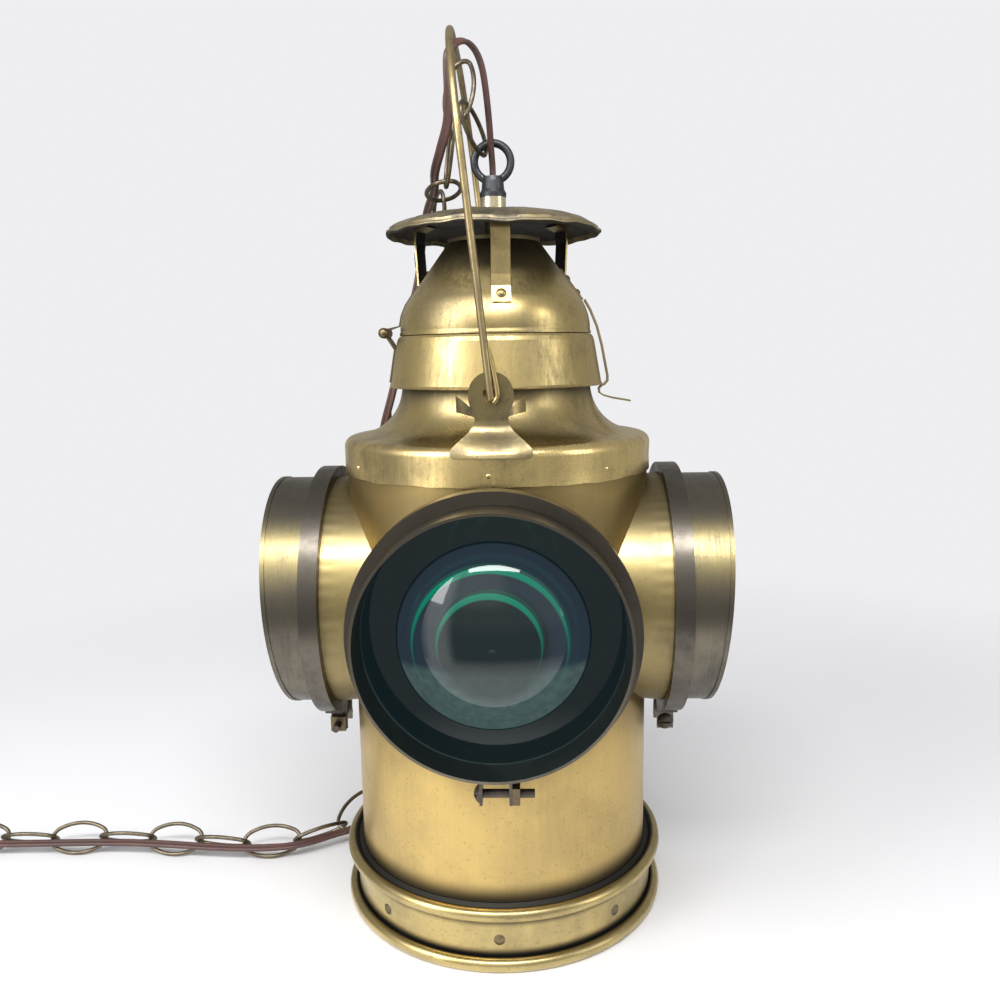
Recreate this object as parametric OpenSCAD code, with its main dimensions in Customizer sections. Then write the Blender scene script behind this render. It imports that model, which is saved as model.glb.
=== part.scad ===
// Four-way railroad signal lantern in antique brass, with a hanging chain and a threaded lamp cord.
// The origin is the centre of the foot ring, on the surface that the lantern stands on. +Z is up.
// The front lens faces -Y.

/* [Body] */
// Outer radius of the body drum
body_r = 89.5; // [86:0.5:92]
// Thickness of the body sheet
sheet = 1; // [0.8:0.1:1.4]
// Height of the top edge of the body drum
body_top_z = 282; // [276:1:284]
// Height of the shoulder cap's highest slope
shoulder_z = 287.5; // [286:0.5:290]
// Outer radius of the shoulder's skirt
skirt_r = 91; // [90.5:0.5:93]
// Bottom edge of the shoulder's skirt
skirt_z = 268; // [266:0.5:272]
// Radius of the four lens openings in the drum
opening_r = 61.5; // [56:0.5:62]

/* [Foot] */
// Outer radius of the foot's plain wall
foot_r = 93.4; // [92:0.2:95]
// Height of the upper bead's centre
bead_z = 33.2; // [28:0.2:38]
// Radius of each rolled bead
bead_r = 3.8; // [3:0.1:4.4]

/* [Lens hoods] */
// Height of the lens axes
lens_z = 193.5; // [185:0.5:200]
// Outer radius of a hood
hood_r = 69; // [66:0.5:70]
// Distance from the body's axis to the top of a hood's front rim
hood_end = 133; // [126:1:138]
// Backward slant of a hood's front rim
hood_rake = 3.5; // [0:0.5:6]
// Outer radius of a clamp band
clamp_r = 75.8; // [75:0.1:77]
// Radius of the raised middle of a lens
lens_bulge_r = 50; // [44:1:54]
// Height of the raised middle of a lens
lens_bulge_h = 20; // [14:1:22]

/* [Chimney and lid] */
// Radius of the shoulder's neck
neck_r = 56; // [55:0.2:58]
// Bottom radius of the flared chimney band
band_r = 63; // [61:0.5:65]
// Bottom edge of the chimney band
band_z = 317; // [314:1:320]
// Seam between the chimney band and the lid
seam_z = 347; // [344:1:350]
// Radius of the dome's lower curve
dome_arc_r = 30; // [26:1:34]
// Slope of the dome's cone from the vertical
dome_lean = 36.3; // [34:0.1:39]
// Radius of the canopy
canopy_r = 62; // [58:1:64]
// Height of the canopy's rim
canopy_z = 404.5; // [402:0.5:408]
// Rise of the canopy
canopy_h = 12.5; // [11:0.5:16]
// How far the lid's straps are turned from the front
strap_turn = 6; // [0:1:10]

/* [Bail and eye] */
// Radius of the bail wire
bail_wire_r = 2; // [1.6:0.1:2.4]
// Distance from the body's axis to each leg of the bail
bail_leg_y = 82.7; // [82.3:0.1:84]
// Height of the bail's pivots
bail_pivot_z = 313.2; // [312:0.2:315]
// Height of the bail's cross bar above its pivots
bail_rise = 197; // [195:0.5:198]
// Radius of the bail's two top corners
bail_corner_r = 70; // [60:1:74]
// Lean of the bail towards the left
bail_lean = 6; // [0:1:8]
// Radius of the hanging ring's centre line
eye_ring_r = 10.5; // [9:0.5:12]

/* [Chain and cord] */
// Outside length of a chain link
link_length = 40; // [36:1:44]
// Outside width of a chain link
link_width = 23; // [20:1:25]
// Wire radius of a chain link
link_wire_r = 1.3; // [1.1:0.1:1.5]
// Diameter of the lamp cord
cord_d = 5.5; // [5:0.1:6]
// Turns in each layer of the cord's coil
coil_turns = 3; // [2:1:4]

/* [Hidden] */
$fn = 96;

// Colours of the finishes
brass = [0.62, 0.50, 0.24];
dark_brass = [0.42, 0.36, 0.24];
iron = [0.22, 0.22, 0.24];
brown = [0.26, 0.19, 0.17];

// Levels measured outwards along a lens axis
neck_start = 55;
neck_flange = 98;
neck_mouth_r = 69.6;
lens_back = 99;
lens_flange_t = 4;
hood_flange = lens_back + 6.5;
clamp_start = 97;
clamp_end = hood_flange + 2;
clamp_wall = 1.2;
flange_r = clamp_r - clamp_wall;
screw_y = -clamp_r - 9.6;
screw_level = (clamp_start + clamp_end) / 2;
lug_x = 7;
lug_length = 15.7;

// Places of the foot
bead_ring_r = foot_r + 2.3;
foot_bead_z = bead_r - 0.3;
rivet_z = 17;

// Places of the lid
dome_z = seam_z + 3;
dome_mouth_r = 27;
dome_bend_r = neck_r - dome_arc_r + dome_arc_r * cos(dome_lean);
dome_bend_z = dome_z + dome_arc_r * sin(dome_lean);
dome_top_z = dome_bend_z + (dome_bend_r - dome_mouth_r) / tan(dome_lean);
band_top_r = 58.4;
hinge_x = -65.5;
hinge_z = seam_z + 1.8;
strap_w = 10.4;
collar_top = canopy_z + canopy_h + 8;
eye_z = collar_top + 19.8;

// Strip of the latch
latch_w = 9;
latch_t = 0.9;

// Angles round the body of the four lens axes and of the lid's three straps
sides = [0, 90, 180, 270];
strap_turns = [strap_turn, strap_turn + 120, strap_turn + 240];

// A link's centre line is four arcs, tangent where they meet
link_a = link_length / 2 - link_wire_r;
link_b = link_width / 2 - link_wire_r;
link_end_r = 7.4;
link_slack = 0.6;
link_side_r = (pow(link_a - link_end_r, 2) + pow(link_b, 2) - pow(link_end_r, 2)) / (2 * (link_b - link_end_r));
link_arc = atan2(link_a - link_end_r, link_side_r - link_b);
link_pitch = 2 * link_a - 2 * link_wire_r - link_slack;

// Route of the chain from the canopy over its rim, down behind the body and out along the floor
chain_route = [
    [-27.5, -7.5, 433], [-31, 24, 429.5], [-38, 52, 422], [-43.5, 66, 404], [-48, 68, 381], [-56, 68, 345],
    [-65, 69, 312], [-73, 73, 286], [-79, 79, 260], [-82, 82, 230], [-82, 82, 190], [-82, 82, 150],
    [-82, 82, 110], [-82.5, 81.5, 85], [-84, 80, 62], [-87.5, 76, 41], [-93.5, 69, 23.5], [-101.5, 59.5, 12.5],
    [-112, 47, 8.6], [-124.5, 36, 8.6], [-139, 26.5, 8.6], [-156, 21.5, 8.6], [-174, 20, 8.6], [-190, 21, 8.6],
    [-225, 25, 8.6], [-260, 27, 8.6], [-300, 26, 8.6], [-345, 25, 8.6], [-400, 25, 8.6], [-450, 25, 8.6]
];
// Number of links in the hanging stretch and on the floor
hanging_links = 12;
floor_links = 11;

// Route of the cord from the hanging ring's foot over the arch, along the chain and out to the coil
cord_route = [
    [0, 0, 434], [0, -0.5, 442], [-0.5, -4.5, 451], [-1, -10, 462], [-2, -15.5, 475], [-3.5, -19, 487],
    [-5.5, -20.5, 494.5], [-8.5, -23.5, 499.5], [-12.5, -28, 501.5], [-17, -33, 499.5], [-20.5, -36.5, 494.5],
    [-21.5, -37.5, 488], [-21.5, -36, 475], [-23, -29.5, 460.5], [-28, -19.5, 448.5], [-33, -5, 439],
    [-36.5, 24, 433.5], [-44, 52.5, 426], [-50, 67.5, 406], [-54, 71.5, 382.5], [-72, 68.5, 314],
    [-80, 71, 287.5], [-85.5, 75.5, 260.5], [-87.5, 77.5, 230], [-86, 75.5, 190], [-82, 74.5, 110],
    [-84, 72.5, 63], [-87, 69, 43], [-92, 63, 26.5], [-95.5, 52, 17.5], [-104, 39, 10.5],
    [-120.5, 30, 8.5], [-136, 20, 8.5], [-154.5, 14.5, 8.5], [-190.5, 14, 8.5], [-260, 20, 8.5],
    [-345, 18, 8.5], [-378, 17.5, 8.5], [-393, 14, 3], [-399, 14, 3]
];

// The coil lies on the floor past the last link, its loops a little more than the cord's thickness apart
coil_r = 36.5;
coil_x = -405;
coil_y = 14 - coil_r;
coil_step = cord_d + 0.5;
coil_floor = 3;
coil_lead = 6;
relief_x = coil_x - 25;
plug_face_x = relief_x - 48;
plug_z = coil_floor + coil_step;
plug_w = 24;

// Unit vector, and the part of a that is square to unit vector t
function unit(v) = v / norm(v);
function square_to(a, t) = unit(a - (a * t) * t);

// Catmull-Rom point between p1 and p2
function cr(p0, p1, p2, p3, u) =
    0.5 * ((2 * p1) + (p2 - p0) * u + (2 * p0 - 5 * p1 + 4 * p2 - p3) * u * u
    + (3 * p1 - p0 - 3 * p2 + p3) * u * u * u);
function route_at(r, i, u) =
    cr(r[max(i - 1, 0)], r[i], r[i + 1], r[min(i + 2, len(r) - 1)], u);
function smooth_route(r, n) =
    concat([for (i = [0:len(r) - 2]) for (k = [0:n - 1]) route_at(r, i, k / n)], [r[len(r) - 1]]);

// Running length along a list of points
function run_length(p) = [for (i = 0, s = 0; i < len(p);
    s = s + (i < len(p) - 1 ? norm(p[i + 1] - p[i]) : 0), i = i + 1) s];
function find_step(s, d, i = 0) = (i >= len(s) - 2 || s[i + 1] >= d) ? i : find_step(s, d, i + 1);
function at_length(p, s, d) = let (i = find_step(s, d)) p[i] + (p[i + 1] - p[i]) * (d - s[i]) / (s[i + 1] - s[i]);

// Side of the chain that the cord runs on: above it on the canopy, round it as it hangs, in front of it below
function between(z, z0, z1) = min(1, max(0, (z - z0) / (z1 - z0)));
function chain_side(p) = let (over = between(p[2], 385, 410), low = between(p[2], 60, 15),
    turn = 150 + 120 * between(p[2], 380, 120))
    unit([-0.8, 0, 0.6] * over + [0, -1, 0] * low + [cos(turn), sin(turn), 0] * (1 - over - low));

// Tube of sides n along points p, with a frame carried from ring to ring
function tangent(p, i) = unit(p[min(i + 1, len(p) - 1)] - p[max(i - 1, 0)]);
function frames(p, f0) = [for (i = 0, f = square_to(f0, tangent(p, 0)); i < len(p);
    i = i + 1, f = i < len(p) ? square_to(f, tangent(p, i)) : f) f];

module tube_along(p, r, n, f0) {
    f = frames(p, f0);
    points = [for (i = [0:len(p) - 1]) let (t = tangent(p, i), g = cross(t, f[i]))
        for (k = [0:n - 1]) p[i] + r * (cos(360 * k / n) * f[i] + sin(360 * k / n) * g)];
    last = len(p) - 1;
    side_faces = [for (i = [0:last - 1]) for (k = [0:n - 1]) let (a = i * n + k, b = i * n + (k + 1) % n)
        each [[a, b + n, b], [a, a + n, b + n]]];
    start_face = [for (k = [1:n - 2]) [0, k, k + 1]];
    end_face = [for (k = [1:n - 2]) [last * n, last * n + k + 1, last * n + k]];
    polyhedron(points, concat(side_faces, start_face, end_face), convexity = 12);
}

// Puts children on the lens axis of side i, with +Z outwards and +Y up
module on_lens_axis(i) {
    translate([0, 0, lens_z]) rotate([0, 0, sides[i]]) rotate([90, 0, 0]) children();
}

// Revolved ring from a closed outline of [radius, height] points
module ring(outline) {
    rotate_extrude() polygon(outline);
}

module body_shell() {
    color(brass) difference() {
        translate([0, 0, 2]) cylinder(r = body_r, h = body_top_z - 2);
        translate([0, 0, 1]) cylinder(r = body_r - sheet, h = body_top_z);
        for (i = [0:3]) on_lens_axis(i) cylinder(r = opening_r, h = body_r + 5);
    }
}

module base_collar() {
    inner = body_r;
    color(brass) difference() {
        union() {
            ring([[inner, 0], [foot_r, 0], [foot_r, bead_z + 2], [inner + 1, bead_z + 4], [inner, bead_z + 4]]);
            for (z = [foot_bead_z, bead_z]) rotate_extrude() translate([bead_ring_r, z]) circle(r = bead_r);
        }
        ring([[inner - 1, -5], [foot_r - 1.2, -5], [foot_r - 1.2, bead_z - 6], [inner, bead_z - 3], [inner - 1, bead_z - 3]]);
        translate([0, 0, -10]) cylinder(r = 120, h = 10);
    }
}

module base_plate() {
    r = body_r - sheet;
    color(dark_brass) difference() {
        translate([0, 0, 5]) cylinder(r = r, h = 10);
        translate([0, 0, 6.2]) cylinder(r = r - 1.2, h = 10);
    }
}

module rivet(r, h) {
    intersection() {
        translate([0, 0, h - (r * r + h * h) / (2 * h)]) sphere(r = (r * r + h * h) / (2 * h));
        cylinder(r = r + 1, h = h + 1);
    }
}

module base_rivets() {
    color(dark_brass) for (a = [-45:45:270]) rotate([0, 0, a - 90])
        translate([foot_r, 0, rivet_z]) rotate([0, 90, 0]) rivet(3.2, 1);
}

// Section of the shoulder: the skirt, a rounded corner and a cove that runs up into the neck
cove_r = 29;
function cove(r, steps) = [for (k = steps) let (a = 84 * k / 12)
    [neck_r + cove_r - r * cos(a), shoulder_z + 2 + cove_r - r * sin(a)]];
shoulder_outer = concat([
    [skirt_r, skirt_z], [skirt_r, shoulder_z - 4], [skirt_r - 0.5, shoulder_z - 2.2],
    [skirt_r - 1.6, shoulder_z - 0.6], [skirt_r - 3.4, shoulder_z + 0.6], [skirt_r - 5.6, shoulder_z + 1.4]
], cove(cove_r, [12:-1:0]), [[neck_r, seam_z - 2]]);

module shoulder_cap() {
    inner = concat([[neck_r - sheet, seam_z - 2]], cove(cove_r + sheet, [0:12]), [
        [skirt_r - 5, shoulder_z], [skirt_r - 2.6, shoulder_z - 1.8], [body_r, shoulder_z - 4.4],
        [body_r, skirt_z]
    ]);
    color(brass) ring(concat(shoulder_outer, inner));
}

module chimney_band() {
    hem_z = seam_z - 5.5;
    color(brass) ring([
        [band_r, band_z], [band_r + 0.3, band_z + 0.8], [band_r - 0.4, band_z + 1.6], [band_top_r, seam_z - 4],
        [band_top_r - 0.8, seam_z - 1.8], [neck_r + 0.6, seam_z - 0.5], [neck_r - 1, seam_z - 0.5],
        [neck_r - 1, seam_z - 2], [neck_r, seam_z - 2], [neck_r, hem_z], [band_top_r - 0.8, hem_z],
        [band_r - 1.4, band_z + 1.6], [band_r - 1, band_z]
    ]);
}

// Slightly flared tube from the drum to the clamp, mitred against its neighbours on the diagonals
module neck() {
    intersection() {
        difference() {
            union() {
                translate([0, 0, neck_start]) cylinder(r1 = 65.8, r2 = neck_mouth_r, h = neck_flange - neck_start);
                translate([0, 0, neck_flange]) cylinder(r = flange_r, h = 1);
            }
            translate([0, 0, neck_start - 1]) cylinder(r1 = 64.8, r2 = neck_mouth_r - 0.9, h = neck_flange - neck_start + 3);
            rotate([-90, 0, 0]) translate([0, 0, -100]) cylinder(r = body_r, h = 200);
        }
        rotate([90, 0, 0]) translate([0, 0, -100]) linear_extrude(200) polygon([[0, 0.1], [120, 120.1], [-120, 120.1]]);
    }
}

// Raised glass with a stepped back, as signal lenses have
module lens() {
    front = lens_back + lens_flange_t;
    ball = (lens_bulge_r * lens_bulge_r + lens_bulge_h * lens_bulge_h) / (2 * lens_bulge_h);
    difference() {
        union() {
            translate([0, 0, lens_back]) cylinder(r = flange_r - 0.3, h = lens_flange_t);
            translate([0, 0, front]) difference() {
                cylinder(r = flange_r - 0.3, h = hood_flange - front);
                translate([0, 0, -1]) cylinder(r = hood_r - 1, h = 9);
            }
            intersection() {
                translate([0, 0, front + lens_bulge_h - ball]) sphere(r = ball);
                translate([0, 0, front - 1]) cylinder(r = lens_bulge_r + 5, h = 40);
            }
        }
        translate([0, 0, lens_back - 1]) cylinder(r = 58, h = 2.5);
        translate([0, 0, lens_back]) cylinder(r1 = 42.5, r2 = 41, h = 7);
        translate([0, 0, lens_back + 5]) cylinder(r1 = 28, r2 = 27, h = 7);
    }
}

// Space in front of a hood's slanted rim, or a little behind it
module beyond_rim(back) {
    translate([0, hood_r, hood_end]) rotate([hood_rake, 0, 0]) translate([-100, -200, -back]) cube([200, 240, 60]);
}

module hood() {
    bead = 2.4;
    difference() {
        union() {
            translate([0, 0, hood_flange]) cylinder(r = flange_r, h = 1);
            translate([0, 0, hood_flange]) cylinder(r = hood_r, h = hood_end - hood_flange + 1);
            intersection() {
                translate([0, 0, hood_flange]) cylinder(r = hood_r + 0.5, h = 50);
                beyond_rim(bead);
            }
        }
        translate([0, 0, hood_flange - 1]) cylinder(r = hood_r - 1, h = 60);
        beyond_rim(0);
    }
}

// Split band of channel section, with two bent lugs below for the clamp screw
module clamp_band() {
    gap = asin(lug_x / clamp_r);
    lug_w = 10;
    difference() {
        union() {
            rotate([0, 0, gap - 90]) rotate_extrude(angle = 360 - 2 * gap) polygon([
                [hood_r + 0.8, clamp_end], [hood_r + 0.8, clamp_end - 1], [flange_r, clamp_end - 1],
                [flange_r, clamp_start + 1], [69.8, clamp_start + 1], [69.8, clamp_start], [clamp_r, clamp_start],
                [clamp_r, clamp_end]
            ]);
            for (side = [-1, 1]) {
                translate([side * lug_x - (side > 0 ? 0 : 1.6), 1.5 - clamp_r - lug_length, screw_level - lug_w / 2])
                    cube([1.6, lug_length, lug_w]);
                rotate([0, 0, side > 0 ? gap - 90 : -90 - gap - 13]) rotate_extrude(angle = 13)
                    translate([clamp_r, screw_level - lug_w / 2]) square([1.5, lug_w]);
            }
        }
        translate([-20, screw_y, screw_level]) rotate([0, 90, 0]) cylinder(r = 2.5, h = 40);
    }
}

module clamp_screws() {
    color(iron) for (i = [0:3]) on_lens_axis(i) translate([-lug_x - 1.6, screw_y, screw_level]) rotate([0, 90, 0]) {
        cylinder(r = 2.3, h = 29);
        difference() {
            mirror([0, 0, 1]) rivet(5.2, 3.2);
            translate([-6, -0.6, -4.5]) cube([12, 1.2, 3]);
        }
    }
}

module clamp_nuts() {
    color(iron) for (i = [0:3]) on_lens_axis(i) translate([lug_x + 1.6, screw_y, screw_level]) rotate([0, 90, 0])
        difference() {
            translate([-4.6, -4.6, 0]) cube([9.2, 9.2, 4]);
            translate([0, 0, -1]) cylinder(r = 2.3, h = 6);
        }
}

// Sheet ear: a round-topped plate with bent stops, on a foot that spreads over the shoulder
module ear() {
    plate_y = bail_leg_y - bail_wire_r - 0.7;
    plate_t = 1.2;
    hole_z = bail_pivot_z + 2.2;
    fold_z = 300;
    difference() {
        union() {
            translate([0, -plate_y + plate_t, 0]) rotate([90, 0, 0]) linear_extrude(plate_t) union() {
                translate([0, hole_z]) circle(r = 11.7);
                polygon([[-9.4, fold_z], [9.4, fold_z], [10.2, 306], [11.6, hole_z], [-11.6, hole_z], [-10.2, 306]]);
            }
            for (side = [-1, 1]) translate([side * 11.2, -plate_y + plate_t, 305.5])
                rotate([0, 0, side > 0 ? 24 : 156]) translate([0, -0.6, 0]) cube([7.5, 1.2, 7.5]);
            // The foot runs from the fold down to the cap's edge, as wide as the cap is round
            ear_foot(plate_y, plate_t, fold_z);
        }
        translate([0, -plate_y - 5, hole_z]) rotate([-90, 0, 0]) cylinder(r = 4.3, h = 12);
        // Nothing reaches into the shoulder
        ring(concat([[0, skirt_z]], shoulder_outer, [[0, seam_z - 2]]));
    }
}

module ear_foot(plate_y, plate_t, fold_z) {
    intersection() {
        rotate_extrude() polygon([
            [plate_y - plate_t, fold_z + 0.6], [plate_y, fold_z + 0.6], [plate_y + 1.8, fold_z - 2.6],
            [plate_y + 5, fold_z - 6.5], [skirt_r - 1.4, fold_z - 11], [skirt_r - 0.6, fold_z - 14],
            [83, shoulder_z + 1], [77, shoulder_z + 2]
        ]);
        translate([0, -60, 0]) rotate([90, 0, 0]) linear_extrude(40) polygon([
            [-9.4, fold_z + 1], [-13, fold_z - 5], [-21, fold_z - 12], [-22, fold_z - 20],
            [22, fold_z - 20], [21, fold_z - 12], [13, fold_z - 5], [9.4, fold_z + 1]
        ]);
    }
}

module bail() {
    leg_h = bail_rise - bail_corner_r;
    bar = bail_leg_y - bail_corner_r;
    color(brass) translate([0, 0, bail_pivot_z]) rotate([0, -bail_lean, 0]) union() {
        for (side = [-1, 1]) {
            translate([0, side * bail_leg_y, 0]) cylinder(r = bail_wire_r, h = leg_h);
            translate([0, side * bail_leg_y, 0]) sphere(r = bail_wire_r);
            translate([0, side * bail_leg_y, 0]) rotate([side * 90, 0, 0]) cylinder(r = bail_wire_r, h = 9);
            translate([0, side * bar, leg_h]) rotate([90, 0, 90])
                rotate([0, 0, side > 0 ? 0 : 90]) rotate_extrude(angle = 90) translate([bail_corner_r, 0]) circle(r = bail_wire_r);
        }
        translate([0, -bar, bail_rise]) rotate([-90, 0, 0]) cylinder(r = bail_wire_r, h = 2 * bar);
    }
}

// Radius of the dome's outside at height z, and of the flared band's
function dome_radius(z) = z < dome_z ? neck_r : z < dome_bend_z
    ? neck_r - dome_arc_r + sqrt(pow(dome_arc_r, 2) - pow(z - dome_z, 2))
    : dome_bend_r - (z - dome_bend_z) * tan(dome_lean);
function band_radius(z) = let (low = band_z + 1.6, high = seam_z - 4)
    band_r - 0.4 + (band_top_r - band_r + 0.4) * (z - low) / (high - low);

// The dome's lower curve, with radius r, in the given steps
function dome_arc(r, steps) = [for (k = steps) let (a = k * dome_lean / 8)
    [neck_r - dome_arc_r + r * cos(a), dome_z + r * sin(a)]];

module lid_dome() {
    collar = 2;
    inside_r = dome_mouth_r - sheet;
    color(brass) ring(concat(
        [[neck_r - sheet, seam_z], [neck_r + 0.5, seam_z], [neck_r + 0.5, seam_z + 1.4], [neck_r, seam_z + 2]],
        dome_arc(dome_arc_r, [0:8]), [[dome_mouth_r, dome_top_z], [dome_mouth_r, dome_top_z + collar]],
        [[inside_r, dome_top_z + collar], [inside_r, dome_top_z - sheet * tan(dome_lean / 2)]],
        dome_arc(dome_arc_r - sheet, [8:-1:0])
    ));
}

function canopy_height(r, drop) = canopy_z - drop + canopy_h * sqrt(1 - pow(min(r, canopy_r) / canopy_r, 2));

module canopy() {
    radii = [canopy_r, 61.6, 60.5, 58.5, 55, 50, 43, 35, 26, 16, 5];
    color(brass) union() {
        ring(concat([for (r = radii) [r, canopy_height(r, 0)]],
            [for (k = [len(radii) - 1:-1:0]) [radii[k] - (k < 4 ? 0.9 : 0), canopy_height(radii[k], k < 4 ? 0.5 : 1.1)]]));
        rotate_extrude() translate([canopy_r - 0.6, canopy_z]) circle(r = 1.2);
    }
}

// Three flat straps that carry the canopy over the dome's mouth
module canopy_straps() {
    tab_r = 42;
    top_r = 51;
    profile_out = [[53.9, 363.3], [51.5, 368], [50, 372], [49.6, 378], [50.2, 390], [top_r, 402],
        [top_r, canopy_height(top_r, 2.6)], [top_r - 1.4, canopy_height(top_r, 1.2)], [tab_r, canopy_height(tab_r, 1.2)]];
    profile_in = [[tab_r, canopy_height(tab_r, 2.4)], [top_r - 2, canopy_height(top_r, 2.6)], [top_r - 1.2, 402],
        [49, 390], [48.4, 378], [48.8, 372], [47, 369], [50, 363.3]];
    color(brass) for (a = strap_turns) rotate([0, 0, a]) difference() {
        translate([-strap_w / 2, 0, 0]) rotate([90, 0, 90]) linear_extrude(strap_w)
            polygon([for (p = concat(profile_out, profile_in)) [-p[0], p[1]]]);
        dome_solid();
    }
}

// Solid of the dome's outside, for what sits on the dome
module dome_solid() {
    ring(concat([[0, seam_z]], [[neck_r, seam_z]], dome_arc(dome_arc_r, [0:8]), [[dome_mouth_r, dome_top_z]],
        [[0, dome_top_z]]));
}

module strap_rivets() {
    color(dark_brass) for (a = strap_turns) rotate([0, 0, a - 90])
        translate([51.8, 0, 368]) rotate([0, 66, 0]) rivet(2.8, 1.4);
}

module eye_collar() {
    base = canopy_z + canopy_h;
    color(brass) difference() {
        union() {
            translate([0, 0, base]) cylinder(r = 9.5, h = 1.6);
            translate([0, 0, base + 1]) cylinder(r = 7.4, h = collar_top - base - 1);
        }
        translate([0, 0, base - 5]) cylinder(r = 5, h = 20);
    }
}

// Cast loop with a hollow foot: the ring hangs the lantern and the cord comes up through the foot
module eye_loop() {
    color(iron) difference() {
        union() {
            ring([[0, collar_top], [7.6, collar_top], [7.8, collar_top + 2.4], [6.6, collar_top + 4.6],
                [6.2, eye_z - eye_ring_r], [5.6, eye_z - eye_ring_r + 2.4], [0, eye_z - eye_ring_r + 2.4]]);
            translate([0, 0, eye_z]) rotate([90, 0, 0]) rotate_extrude() translate([eye_ring_r, 0]) circle(r = 2.25);
        }
        translate([0, 0, collar_top - 1]) cylinder(r = 3.2, h = 22);
    }
}

module lamp_tube() {
    low = 324;
    color(dark_brass) difference() {
        translate([0, 0, low]) cylinder(r = 5, h = collar_top - low);
        translate([0, 0, low - 1]) cylinder(r = 3.2, h = collar_top);
    }
}

module lamp_socket() {
    color(brass) ring([[3.2, 324], [6, 324], [9, 322.5], [14, 318.5], [17, 314], [17, 286.4], [17.6, 285.4],
        [17.6, 285], [16, 285], [16, 313.4], [13.2, 317.4], [8.4, 321.2], [5.6, 322.6], [3.2, 322.6]]);
}

module socket_insulator() {
    color([0.85, 0.83, 0.78]) difference() {
        translate([0, 0, 287]) cylinder(r = 16, h = 24);
        translate([0, 0, 286]) cylinder(r = 13.2, h = 22);
    }
}

// Half knuckles of the lid's hinge
module knuckle(y, length) {
    translate([hinge_x, y, hinge_z]) rotate([-90, 0, 0]) difference() {
        cylinder(r = 3.1, h = length);
        translate([0, 0, -1]) cylinder(r = 1.6, h = length + 2);
    }
}

module leaf_plate(outline, width) {
    half = asin(width / 2 / band_r);
    rotate([0, 0, 180 - half]) rotate_extrude(angle = 2 * half) polygon(outline);
}

module hinge_lower_leaf() {
    t = 1.2;
    r_low = band_radius(320);
    r_high = band_radius(339);
    color(dark_brass) union() {
        difference() {
            leaf_plate([[r_low, 320], [r_low + t, 320], [r_high + t, 339], [-hinge_x - 0.4, hinge_z - 2.2],
                [-hinge_x - 1.4, hinge_z - 2.2], [-hinge_x - 2.4, hinge_z - 3.6], [r_high, 339]], 16);
            // Room for the upper leaf's knuckle
            translate([hinge_x, -3.2, hinge_z]) rotate([-90, 0, 0]) cylinder(r = 3.7, h = 6.4);
        }
        knuckle(-8, 4.8);
        knuckle(3.2, 4.8);
    }
}

module hinge_upper_leaf() {
    t = 1.2;
    zs = [seam_z + 6, seam_z + 12, seam_z + 18, seam_z + 24, seam_z + 29];
    outline = concat([[-hinge_x - 2.2, hinge_z + 1.6], [-hinge_x, hinge_z + 2.4]],
        [for (z = zs) [dome_radius(z) + t + 0.1, z]], [for (k = [4:-1:0]) [dome_radius(zs[k]) + 0.02, zs[k]]]);
    color(dark_brass) difference() {
        union() {
            leaf_plate(outline, 5.6);
            knuckle(-2.8, 5.6);
        }
        dome_solid();
        translate([hinge_x, -10, hinge_z]) rotate([-90, 0, 0]) cylinder(r = 1.6, h = 20);
    }
}

module hinge_pin() {
    color(dark_brass) translate([hinge_x, 0, hinge_z]) rotate([-90, 0, 0]) union() {
        translate([0, 0, -9]) cylinder(r = 1.5, h = 18);
        translate([0, 0, 8]) rivet(3, 2.2);
        mirror([0, 0, 1]) translate([0, 0, 8]) rivet(3, 2.2);
    }
}

// Offsets a line of points sideways, for bent strip
function strip_normal(p, i) = let (d = unit(p[min(i + 1, len(p) - 1)] - p[max(i - 1, 0)])) [-d[1], d[0]];
function strip(p, t) = concat([for (i = [0:len(p) - 1]) p[i] + strip_normal(p, i) * t / 2],
    [for (i = [len(p) - 1:-1:0]) p[i] - strip_normal(p, i) * t / 2]);

// Strap of the latch, riveted to the dome
module latch_plate() {
    zs = [366.6, 371, 375, 379, 384];
    half = asin(latch_w / 2 / dome_radius(zs[2]));
    color(brass) difference() {
        rotate([0, 0, -half]) rotate_extrude(angle = 2 * half) polygon(concat(
            [for (z = zs) [dome_radius(z) + latch_t + 0.3, z]], [for (k = [4:-1:0]) [dome_radius(zs[k]) - 0.5, zs[k]]]));
        dome_solid();
    }
}

// Centre line of the spring strip, which stands off the dome, hooks under the flared band and ends in a finger tail
latch_line = [
    [52.8, 366.4], [56.2, 360.5], [60.1, 351], [63, 340], [66.4, 322], [66.4, 319], [64.6, 316.9], [62.6, 316],
    [61.3, 314.4], [61.6, 312], [64, 310.4], [69, 308.9], [80, 306.9]
];

module latch_spring() {
    color(brass) translate([0, latch_w / 2, 0]) rotate([90, 0, 0]) linear_extrude(latch_w)
        polygon(strip(latch_line, latch_t));
}

module latch_rivets() {
    color(dark_brass) for (z = [371, 379]) let (lean = atan2(dome_radius(z - 2) - dome_radius(z + 2), 4))
        translate([dome_radius(z) + latch_t + 0.35, 0, z]) rotate([0, 90 - lean, 0]) rivet(2.2, 1.1);
}

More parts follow.
